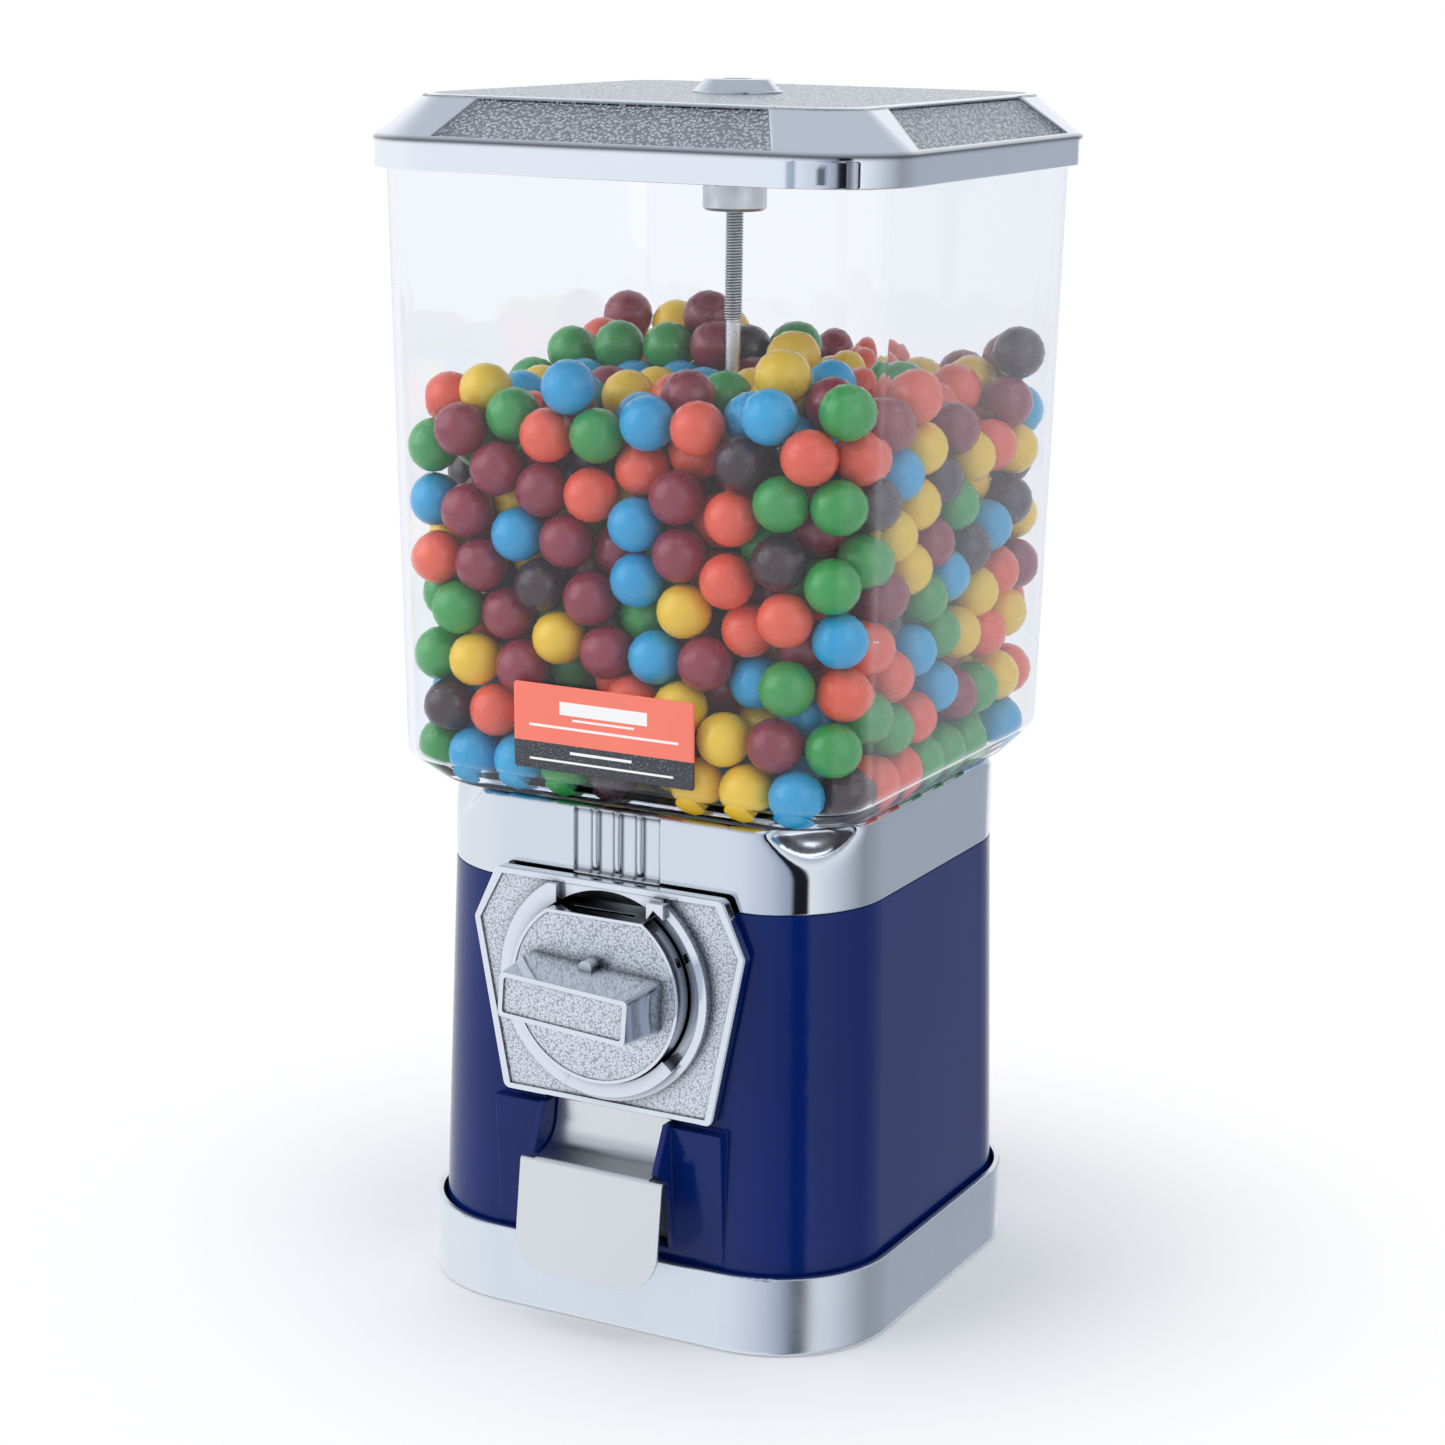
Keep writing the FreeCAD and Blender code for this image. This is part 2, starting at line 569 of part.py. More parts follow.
def make_deck():
    """Deck with the running surface, the crown's groove, the drop hole and the bowl."""
    plate_top = "deck_low + deck_plate"
    plate = prism("deck_half", "deck_half", "body_corner_top - body_wall", "deck_low", plate_top)
    groove_in = "crown_radius - crown_width / 2 - 1"
    raised = cut(bar(groove_in, "deck_low", "deck_top"),
                 cut(bar(f"{groove_in} - 2", "deck_low - 1", "deck_top - deck_skin"),
                     bar("bush_radius + 3", "deck_low - 2", "deck_top")))
    bowl = cut(bar("bowl_inner + bowl_wall", "deck_low", "bowl_top"),
               bar("bowl_inner", "deck_low - 1", "bowl_top + 1"))
    drop = bar("ball / 2 + 1.5", "deck_low - 1", "deck_top + 1", ("0", "-pocket_pitch"))
    gear_slot = block(("-14", "14"), ("-(crown_radius + crown_width / 2 + 1.5)",
                                      "-(crown_radius - crown_width / 2 - 4.4)"),
                      ("deck_low - 1", "deck_low + deck_plate + 1"))
    room = [block((f"-({half})", half), (f"-{BIG}", f"-({front})"), ("deck_low - 1", f"{plate_top} + 1"))
            for half, front in (("housing_radius + 1.7", "bowl_inner + bowl_wall + 0.3"),
                                ("bracket_half + 1", "body_half_top - body_wall - 2.7"))]
    bush_hole = bar("bush_radius", "deck_low - 1", "deck_top + 1")
    drills = [bar("screw_room", "deck_low - 1", "deck_low + deck_plate + 1", spot) for spot in DECK_SCREWS]
    hollow = bar(f"{groove_in} - 2", "deck_low - 1", "deck_low + deck_plate + 1")
    floor = cut(plate, *room, cut(hollow, bar("bush_radius + 3", "deck_low - 2", "deck_top")))
    node("wheel_deck", cut(fuse(floor, raised, bowl), drop, gear_slot, bush_hole, *drills))

    heads = [fuse(bar("screw_head", "deck_low - screw_head_high", "deck_low", spot),
                  bar("screw_radius", "deck_low - 0.5", "deck_low + deck_plate + 10", spot))
             for spot in DECK_SCREWS]
    node("deck_screws", group(*heads))

    bush = new_body("wheel_bush")
    grow(bush, "Pad", sketch_in(bush, "XY_Plane", circle_outline, "bush_radius", offset="deck_low"),
         "deck_top + wheel_thick + 1 - deck_low")
    grow(bush, "Pocket", sketch_in(bush, "XY_Plane", circle_outline, ROD_HOLE))

    over = "deck_top + wheel_lift + wheel_thick + 1.2"
    half = "ball / 2 + pocket_room"
    shade = block((f"-({half})", half), (f"-{BIG}", "-(pocket_pitch - (ball + pocket_room) / 2 - 0.3)"),
                  (over, f"{over} + 1.6"))
    tab = block(("-8", "8"), (f"-{BIG}", "-(bowl_inner - 2.4)"), (over, f"{over} + 14"))
    cover = doc.addObject("Part::Common", "cover")
    cover.Base = fuse(shade, tab)
    cover.Tool = bar("bowl_inner", over, f"{over} + 14")
    node("brush_cover", cover)
    brush = new_body("ball_brush")
    grow(brush, "Pad", sketch_in(brush, "XY_Plane", polygon_outline,
                                 [("-11", "-(pocket_pitch + 12)"), ("11", "-(pocket_pitch + 12)"),
                                  ("11", "-(pocket_pitch + 9)"), ("-11", "-(pocket_pitch + 9)")],
                                 offset=f"{over} - 0.8"), "0.8")


# ---------------------------------------------------------------- rod
def make_rod():
    rod = new_body("center_rod")
    top = "lid_plate - 1.5"
    profile = [("0", "pad_thick + 1.5"), ("rod_radius", "pad_thick + 1.5"), ("rod_radius", "boss_top + 12"),
               ("rod_shank", "boss_top + 12.4"), ("rod_shank", "thread_low"),
               ("rod_radius", "thread_low + 0.4"),
               ("rod_radius", f"{top} - 1"), ("rod_radius - 1", top), ("0", top)]
    spin(rod, "Revolution", sketch_in(rod, "XZ_Plane", polygon_outline, profile))

    washer = new_body("rod_washer")
    grow(washer, "Pad", sketch_in(washer, "XY_Plane", circle_outline, "nut_pocket - 0.6",
                                  offset="boss_top - 4.4"), "1.4")
    grow(washer, "Pocket", sketch_in(washer, "XY_Plane", circle_outline, "rod_radius + 0.2"))

    nut = new_body("rod_nut")
    flat = 5.0
    hexagon = [(f"{flat / math.cos(math.pi / 6) * math.cos(math.radians(a)):.4f}",
                f"{flat / math.cos(math.pi / 6) * math.sin(math.radians(a)):.4f}")
               for a in (30, 90, 150, 210, 270, 330)]
    hexagon = [("0" if abs(float(x)) < 1e-6 else x, y) for x, y in hexagon]
    grow(nut, "Pad", sketch_in(nut, "XY_Plane", polygon_outline, hexagon, offset="boss_top - 9.4"), "5")
    grow(nut, "Pocket", sketch_in(nut, "XY_Plane", circle_outline, "rod_radius"))


# ---------------------------------------------------------------- wheel
WHEEL_LOW = "deck_top + wheel_lift"
PITCH_PLANE = "dial_height + pinion_pitch"


def make_wheel():
    """Wheel with six pockets and a crown of teeth under its edge that the drive gear turns."""
    wheel = new_body("ball_wheel")
    grow(wheel, "Pad", sketch_in(wheel, "XY_Plane", circle_outline, "wheel_radius", offset=WHEEL_LOW),
         "wheel_thick")
    pocket = grow(wheel, "Pocket", sketch_in(wheel, "XY_Plane", circle_outline, "(ball + pocket_room) / 2",
                                             "pocket_pitch * cos(60)", "pocket_pitch * sin(60)"))
    repeat(wheel, [pocket], "Z_Axis", "pocket_count")
    grow(wheel, "Pocket", sketch_in(wheel, "XY_Plane", circle_outline, "bush_radius + running"))
    crown_in = "crown_radius - crown_width / 2"
    crown_out = "crown_radius + crown_width / 2"
    root = f"{PITCH_PLANE} + tooth_in"
    inside = f"{WHEEL_LOW} + 1"
    ring = [(crown_in, root), (crown_out, root), (crown_out, inside), (crown_in, inside)]
    spin(wheel, "Revolution", sketch_in(wheel, "XZ_Plane", polygon_outline, ring))
    teeth = "(pinion_teeth * pocket_count)"
    step = f"(2 * pi * crown_radius / {teeth})"
    tip = f"{PITCH_PLANE} - tooth_out"
    tooth = [(f"-0.27 * {step}", f"{root} + 0.4"), (f"-0.09 * {step}", tip),
             (f"0.09 * {step}", tip), (f"0.27 * {step}", f"{root} + 0.4")]
    first = grow(wheel, "Pad", sketch_in(wheel, "XZ_Plane", polygon_outline, tooth, offset=crown_in),
                 "crown_width")
    half_step = 360 / (size("pinion_teeth") * size("pocket_count")) / 2
    repeat(wheel, [first], "Z_Axis", teeth)
    wheel.Placement = Placement(Vector(0, 0, 0), Rotation(Vector(0, 0, 1), half_step))

    cap = new_body("wheel_stirrer")
    top = f"{WHEEL_LOW} + wheel_thick"
    profile = [("bush_radius + 0.5", top), ("pocket_pitch - ball / 2 - pocket_room / 2 - 1", top),
               ("bush_radius + 4", f"{top} + 7"), ("bush_radius + 0.5", f"{top} + 7")]
    spin(cap, "Revolution", sketch_in(cap, "XZ_Plane", polygon_outline, profile))
    fin = [("bush_radius + 1", f"{top} + 1"), ("pocket_pitch - ball / 2 - 3", f"{top} + 1"),
           ("pocket_pitch - ball / 2 - 5", f"{top} + 13"), ("bush_radius + 1", f"{top} + 13")]
    blade = grow(cap, "Pad", sketch_in(cap, "XZ_Plane", polygon_outline, fin, offset="-1"), "2")
    repeat(cap, [blade], "Z_Axis", "3")


# ---------------------------------------------------------------- hopper
def make_hopper():
    """Clear hopper: drafted walls, chamfered foot, flat seat and a round neck over the bowl."""
    wall = "hopper_wall"
    main = taper("hopper_shoulder", "hopper_half_low", "hopper_corner_low",
                 "hopper_top", "hopper_half_top", "hopper_corner_top")
    foot = taper("collar_top", "hopper_half_seat", "hopper_corner_seat",
                 "hopper_shoulder", "hopper_half_low", "hopper_corner_low")
    inside = taper("hopper_shoulder", f"hopper_half_low - {wall}", f"hopper_corner_low - {wall}",
                   "hopper_top + 0.01", f"hopper_half_top - {wall}", f"hopper_corner_top - {wall}")
    inside_foot = taper(f"collar_top + {wall}", f"hopper_half_seat - {wall}", f"hopper_corner_seat - {wall}",
                        "hopper_shoulder", f"hopper_half_low - {wall}", f"hopper_corner_low - {wall}")
    neck_in = "bowl_inner + bowl_wall + neck_gap"
    neck = bar(f"{neck_in} + 2", "neck_low", "collar_top + 1")
    through = bar(neck_in, "neck_low - 1", f"collar_top + {wall} + 1")
    node("hopper", cut(fuse(main, foot, neck), fuse(inside, inside_foot), through))

    lean = "atan((hopper_half_top - hopper_half_low) / (hopper_top - hopper_shoulder))"
    rise = "(hopper_half_top - hopper_half_low) / (hopper_top - hopper_shoulder)"
    label = new_body("label_plate")
    outline = [("-label_half", "0"), ("label_half", "0"),
               ("label_half", "label_high"), ("-label_half", "label_high")]
    grow(label, "Pad", sketch_in(label, "XZ_Plane", polygon_outline, outline), "label_thick")
    label.Placement = Placement(Vector(0, 0, 0), Rotation(Vector(1, 0, 0), size(lean)))
    at(label, ("-1", f"-(hopper_half_low + {rise} * (label_low - hopper_shoulder) + 0.05)", "label_low"))


# ---------------------------------------------------------------- lid and lock
def make_lid():
    """Lid with a plain skirt, four sloped sides with sunk panels, and nicks on its corners."""
    skirt = prism("lid_half", "lid_half", "lid_corner", "lid_low", "lid_shoulder")
    slope = taper("lid_shoulder", "lid_half", "lid_corner", "lid_plate", "lid_plate_half", "lid_plate_corner")
    rest = "hopper_top"
    wide = prism("lid_half - lid_wall", "lid_half - lid_wall", "lid_corner + 1", "lid_low - 1", rest)
    drop = "lid_half - lid_plate_half"
    hollow_top = "lid_plate - lid_wall - 1"
    climb = f"({hollow_top} - lid_shoulder + lid_wall) / (lid_plate - lid_shoulder)"
    hollow = taper(f"{rest} - 0.5", "lid_half - lid_flange", "hopper_corner_top",
                   hollow_top, f"lid_half - lid_flange - ({drop}) * {climb}", "lid_plate_corner")
    lean = "atan((lid_plate - lid_shoulder) / (lid_half - lid_plate_half))"
    run = "sqrt((lid_plate - lid_shoulder) ^ 2 + (lid_half - lid_plate_half) ^ 2)"
    low, top = f"0.12 * {run}", f"0.95 * {run}"
    panels = []
    for step in range(4):
        sketch = doc.addObject("Sketcher::SketchObject", "panel")
        polygon_outline(sketch, [("-63", low), ("63", low), ("54", top), ("-54", top)])
        tool = doc.addObject("Part::Extrusion", "panel_tool")
        tool.Base = sketch
        tool.DirMode = "Normal"
        tool.LengthFwd = 5
        bind(tool, "LengthRev", "panel_sink")
        tool.Solid = True
        at(sketch, ("0", "-lid_half", "lid_shoulder"), Rotation(Vector(1, 0, 0), size(lean)))
        panels.append(turned(tool, 90 * step))
    out = "((lid_half - lid_corner) * sqrt(2) + lid_corner)"
    face, nick_top = f"{out} - nick_deep", "lid_shoulder - 2"
    nicks = corner_tool([(face, "lid_low - 1"), (f"{BIG}", "lid_low - 1"), (f"{BIG}", nick_top),
                         (face, nick_top)], "nick_half")
    lock_hole = bar("socket_radius + 0.2", "lid_low", "total_height + 1")
    node("lid_shell", cut(fuse(skirt, slope), wide, hollow, *panels, *nicks, lock_hole))

    cap = new_body("lock_cap")
    profile = [("plug_radius + running", "lid_plate - 6"), ("socket_radius - 1", "lid_plate - 6"),
               ("socket_radius - 1", "lid_plate"), ("lock_radius", "lid_plate"),
               ("lock_radius", "lid_plate + 0.7"), ("lock_radius - 0.9", "lid_plate + 0.9"),
               ("lock_face + 0.4", "total_height - 0.3"), ("lock_face", "total_height"),
               ("plug_radius + running + 0.6", "total_height"),
               ("plug_radius + running", "total_height - 0.6")]
    spin(cap, "Revolution", sketch_in(cap, "XZ_Plane", polygon_outline, profile))

    plug = new_body("lock_plug")
    grow(plug, "Pad", sketch_in(plug, "XY_Plane", circle_outline, "plug_radius",
                                offset="lid_plate - 1"), "total_height - 0.5 - (lid_plate - 1)")
    ring = [("2.2", "total_height - 3"), ("3.6", "total_height - 3"),
            ("3.6", "total_height"), ("2.2", "total_height")]
    spin(plug, "Groove", sketch_in(plug, "XZ_Plane", polygon_outline, ring))
    grow(plug, "Pocket", sketch_in(plug, "XY_Plane", polygon_outline,
                                   [("3", "-0.7"), ("4.5", "-0.7"), ("4.5", "0.7"), ("3", "0.7")],
                                   offset="total_height - 0.5"), "2.5")

    socket = new_body("rod_socket")
    profile = [("rod_radius + running", "socket_low"), ("socket_radius - 1", "socket_low"),
               ("socket_radius", "socket_low + 1"), ("socket_radius", "lid_plate - 0.2"),
               ("socket_radius - 0.9", "lid_plate - 0.2"), ("socket_radius - 0.9", "lid_plate - 7"),
               ("rod_radius + running", "lid_plate - 7")]
    spin(socket, "Revolution", sketch_in(socket, "XZ_Plane", polygon_outline, profile))


# ---------------------------------------------------------------- coin mechanism
def shield(inset_side, inset_end):
    """Half widths and heights of the face plate's outline, drawn in by a border."""
    top, wide, low = (f"plate_{word}_half - ({inset_side})" for word in ("top", "wide", "low"))
    high, foot = f"plate_top - ({inset_end})", f"plate_low + ({inset_end})"
    return [(f"-({low})", foot), (low, foot), (wide, "plate_wide"), (top, high),
            (f"-({top})", high), (f"-({wide})", "plate_wide")]


def make_face_plate():
    plate = new_body("face_plate")
    grow(plate, "Pad", sketch_in(plate, "XZ_Plane", polygon_outline, shield("0", "0"), offset="plate_back"),
         "plate_front - plate_back")
    deep = size("plate_front - plate_back")
    soften(plate, "Fillet", "3",
           lambda edge: abs(edge.Length - deep) < 1e-4 and edge.BoundBox.YLength > deep - 1e-3)
    soften(plate, "Fillet", "0.7", depth_edges("plate_front"))
    grow(plate, "Pocket", sketch_in(plate, "XZ_Plane", polygon_outline,
                                    shield("plate_border + 0.3", "plate_border"), offset="plate_front"),
         "plate_sink")
    opening = sketch_in(plate, "XZ_Plane", circle_outline, "dial_radius + dial_gap", "0", "dial_height")
    grow(plate, "Pocket", opening)
    for across, up in MECH_SCREWS:
        grow(plate, "Pocket", sketch_in(plate, "XZ_Plane", circle_outline, "screw_radius", across, up,
                                        offset="plate_back"), "2.5", back=True)

    side = "mouth_half + 5"
    outline = [("-42", "body_top - 2"), ("-50", "plate_wide"), (f"-({side} + 11)", "plate_low + 1"),
               (f"-({side})", "plate_low + 1"), (f"-({side})", "plate_low + 8"), (side, "plate_low + 8"),
               (side, "plate_low + 1"), (f"{side} + 11", "plate_low + 1"), ("50", "plate_wide"),
               ("42", "body_top - 2")]
    foam = slab(outline, "body_half_top - 1", "plate_back", "y")
    opening = bar("housing_radius + 0.8", f"-{BIG}", "0", ("0", "dial_height"), "y")
    drills = [bar("screw_room", f"-{BIG}", "0", spot, "y") for spot in MECH_SCREWS]
    node("plate_gasket", cut(foam, body_outside(), opening, *drills))


def make_bezel():
    """Fixed ring round the dial: coin notch on top, open channel right, raised coin guard below."""
    axis = ("0", "dial_height")
    inner = "dial_radius + dial_gap"
    seat = "plate_front - plate_sink"
    ring = bar("ring_radius", "-ring_front", f"-({seat})", axis, "y")
    guard = bar("ring_radius - 2.2", "-guard_front", f"-({seat})", axis, "y", start=40, sweep=68)
    nose = block(("notch_half", "notch_half + 6.5"), ("-(guard_front - 1)", f"-({seat})"),
                 ("dial_height + 27.5", "dial_height + 33.5"))
    bore = bar(inner, f"-{BIG}", "0", axis, "y")
    channel = cut(bar("ring_radius - 3", f"-{BIG}", "-(plate_front + 0.6)", axis, "y", start=-56, sweep=96),
                  bar(inner, f"-{BIG}", "0", axis, "y"))
    notch = block(("-notch_half", "notch_half"), (f"-{BIG}", f"-({seat} + 0.4)"),
                  ("dial_height + dial_flat - 4", "dial_height + ring_radius - 4.6"))
    above = block((f"-{BIG}", f"{BIG}"), (f"-{BIG}", "0"), ("plate_top - plate_border - 0.1", f"{BIG}"))
    node("bezel_ring", cut(cut(fuse(ring, guard, nose), channel), bore, notch, above))


def make_dial():
    """Cast dial: grained face inside a plain rim, coin flat with its slot, and the handle bar."""
    axis = ("0", "dial_height")
    disc = bar("dial_radius", "-dial_front", "-dial_back", axis, "y")
    flat = block((f"-{BIG}", f"{BIG}"), (f"-{BIG}", "0"), ("dial_height + dial_flat", f"dial_height + {BIG}"))
    above_field = ("dial_height + dial_flat - 1.2", f"dial_height + {BIG}")
    field = cut(bar("dial_radius - 1.2", f"-{BIG}", "-(dial_front - 0.4)", axis, "y"),
                block((f"-{BIG}", f"{BIG}"), (f"-{BIG}", "0"), above_field))
    coin_slot = block(("-12.5", "12.5"), ("-(dial_front - 6)", "-(dial_front - 8.4)"),
                      ("dial_height + dial_flat - 16", f"dial_height + {BIG}"))
    check_hole = block(("dial_radius - 4", f"{BIG}"), ("-(dial_front - 4)", "-(dial_front - 7)"),
                       ("dial_height + 12", "dial_height + 15"))
    core = bar("shaft_radius", "-(dial_back + 8)", "-dial_back + 1", axis, "y")
    handle = taper("dial_front - 0.6", "bar_half + bar_root", "2.4", "bar_front", "bar_half", "1.6",
                   "bar_high + bar_root", "bar_high")
    sunk = prism("bar_half - 1.7", "bar_high - 1.7", "1", "bar_front - 0.7", "bar_front + 1")
    pimple = bar("2.6", "-(dial_front + 6)", "-(dial_front - 1)", ("0", "dial_height + bar_high + 2"), "y")
    grip = doc.addObject("Part::Compound", "grip")
    grip.Links = [cut(handle, sunk)]
    grip.Placement = Placement(Vector(0, 0, 0), Rotation(Vector(0, 1, 0), size("bar_turn")) * FORWARD)
    bind(grip, "Placement.Base.z", "dial_height")
    node("dial_knob", fuse(cut(disc, flat, field, coin_slot, check_hole, core), grip, pimple))

    shaft = bar("shaft_radius", "-(dial_back + 8)", "-48.6", axis, "y")
    node("dial_shaft", shaft)

    ratchet = new_body("ratchet_wheel", ("0", "0", "dial_height"))
    rim = "ratchet_radius - 3"
    grow(ratchet, "Pad", sketch_in(ratchet, "XZ_Plane", circle_outline, rim, offset="dial_back - 6.5"), "3")
    tooth = [(f"-(ratchet_radius * 0.22)", f"{rim} - 1"), (f"ratchet_radius * 0.22", f"{rim} - 1"),
             ("0.6", "ratchet_radius"), ("-0.2", "ratchet_radius")]
    first = grow(ratchet, "Pad", sketch_in(ratchet, "XZ_Plane", polygon_outline, tooth,
                                           offset="dial_back - 6.5"), "3")
    repeat(ratchet, [first], "Y_Axis", "ratchet_teeth")
    grow(ratchet, "Pocket", sketch_in(ratchet, "XZ_Plane", circle_outline, "shaft_radius"))

    gear = new_body("drive_gear", ("0", "0", "dial_height"))
    root = "pinion_pitch - tooth_in"
    step = "(2 * pi * pinion_pitch / pinion_teeth)"
    back = "crown_radius - crown_width / 2 + 0.5"
    grow(gear, "Pad", sketch_in(gear, "XZ_Plane", circle_outline, root, offset=back), "crown_width - 1")
    tooth = [(f"-0.2 * {step}", f"{root} - 0.8"), (f"0.2 * {step}", f"{root} - 0.8"),
             (f"0.09 * {step}", "pinion_pitch + tooth_out"), (f"-0.09 * {step}", "pinion_pitch + tooth_out")]
    first = grow(gear, "Pad", sketch_in(gear, "XZ_Plane", polygon_outline, tooth, offset=back),
                 "crown_width - 1")
    repeat(gear, [first], "Y_Axis", "pinion_teeth")
    grow(gear, "Pocket", sketch_in(gear, "XZ_Plane", circle_outline, "shaft_radius"))

    nut = new_body("shaft_nut", ("0", "0", "dial_height"))
    across = [(f"{6.6 * math.cos(math.radians(a)):.4f}", f"{6.6 * math.sin(math.radians(a)):.4f}")
              for a in (15, 75, 135, 195, 255, 315)]
    grow(nut, "Pad", sketch_in(nut, "XZ_Plane", polygon_outline, across, offset=f"{back} - 4"), "4")
    grow(nut, "Pocket", sketch_in(nut, "XZ_Plane", circle_outline, "shaft_radius"))


PAWL_PIVOT = ("-27", "dial_height + 8")


def make_housing():
    axis = ("0", "dial_height")
    can = bar("housing_radius", "-plate_back", "-housing_back", axis, "y")
    hollow = bar("dial_radius + dial_gap", "-(plate_back + 1)", "-(housing_back + housing_wall)", axis, "y")
    shaft_bore = bar("shaft_radius + running", f"-{BIG}", "0", axis, "y")
    coin_exit = block(("6", "26"), ("-(plate_back - 3)", "-(housing_back + housing_wall + 2)"),
                      ("dial_height - housing_radius - 2", "dial_height - 24"))
    pawl_post = bar("pin_radius", "-(dial_back - 2)", "-(housing_back + 1)", PAWL_PIVOT, "y")
    housing = cut(can, hollow, shaft_bore, coin_exit)
    node("mech_housing", fuse(housing, pawl_post))

    hub = bar("3.2", "-(dial_back - 3.3)", "-(dial_back - 6.7)", PAWL_PIVOT, "y")
    arm = slab([("-28.2", "dial_height + 10.5"), ("-25.2", "dial_height + 7.2"),
                ("-16.6", "dial_height + 14.6"), ("-19.4", "dial_height + 16")],
               "dial_back - 6.7", "dial_back - 3.3", "y")
    hole = bar("pin_radius + running", f"-{BIG}", "0", PAWL_PIVOT, "y")
    node("ratchet_pawl", cut(fuse(hub, arm), hole))
    coil_ends = ("-(housing_back + housing_wall + 2.6)", "-(housing_back + housing_wall + 0.2)")
    coil = bar("2.8", *coil_ends, PAWL_PIVOT, "y")
    leg = slab([("-28", "dial_height + 10"), ("-27", "dial_height + 9"), ("-20.4", "dial_height + 15.4"),
                ("-21.2", "dial_height + 16.2")], "housing_back + housing_wall + 1.8",
               "housing_back + housing_wall + 2.6", "y")
    node("pawl_spring", cut(fuse(coil, leg), bar("pin_radius + 0.2", f"-{BIG}", "0", PAWL_PIVOT, "y")))

    half = "bracket_half"
    inner_face = "body_half_top - body_wall"
    sheet_metal = block((f"-{half}", half), (f"-({inner_face} - 0.4)", f"-({inner_face} - 2.2)"),
                        ("88", "body_top - 1"))
    opening = bar("housing_radius + 0.3", f"-{BIG}", "0", axis, "y")
    drills = [bar("screw_room", f"-{BIG}", "0", spot, "y") for spot in MECH_SCREWS]
    narrow = "housing_radius - 4"
    slot = block((f"-({narrow})", narrow), (f"-{BIG}", "0"), ("body_top - 20", f"{BIG}"))
    node("mech_bracket", cut(sheet_metal, opening, slot, *drills))
    back = f"{inner_face} - 2.2"
    screws = [fuse(bar("screw_head - 0.2", f"-({back})", f"-({back} - screw_head_high)", spot, "y"),
                   bar("screw_radius", "-(plate_back + 2.3)", f"-({back} - 1)", spot, "y"))
              for spot in MECH_SCREWS]
    node("mech_screws", group(*screws))


# ---------------------------------------------------------------- chute and flap
def make_chute():
    """Chute: a shaft under the drop hole that turns into a ramp down to the mouth."""
    back, front = "pocket_pitch - 11", "pocket_pitch + 11"
    top, knee = "deck_low - 0.4", "chute_knee"
    reach = "body_half_low - 6"
    wall = "chute_wall"
    outer = [(f"-({back} - {wall})", top), (f"-({back} - {wall})", knee), (f"-({reach})", "mouth_low + 1"),
             (f"-({reach})", "pin_height - 10"), ("-56", "pin_height - 2"), (f"-({front} + {wall})", knee),
             (f"-({front} + {wall})", top)]
    inner = [(f"-({back})", f"{top} + 2"), (f"-({back})", f"{knee} + 1"),
             (f"-({reach} + 1)", "mouth_low + 2.8"),
             (f"-({reach} + 1)", "pin_height - 11.6"), ("-56.6", "pin_height - 3.8"), (f"-({front})", knee),
             (f"-({front})", f"{top} + 2")]
    case = slab(outer, f"-(chute_half + {wall})", f"chute_half + {wall}")
    node("ball_chute", cut(case, slab(inner, "-chute_half", "chute_half")))


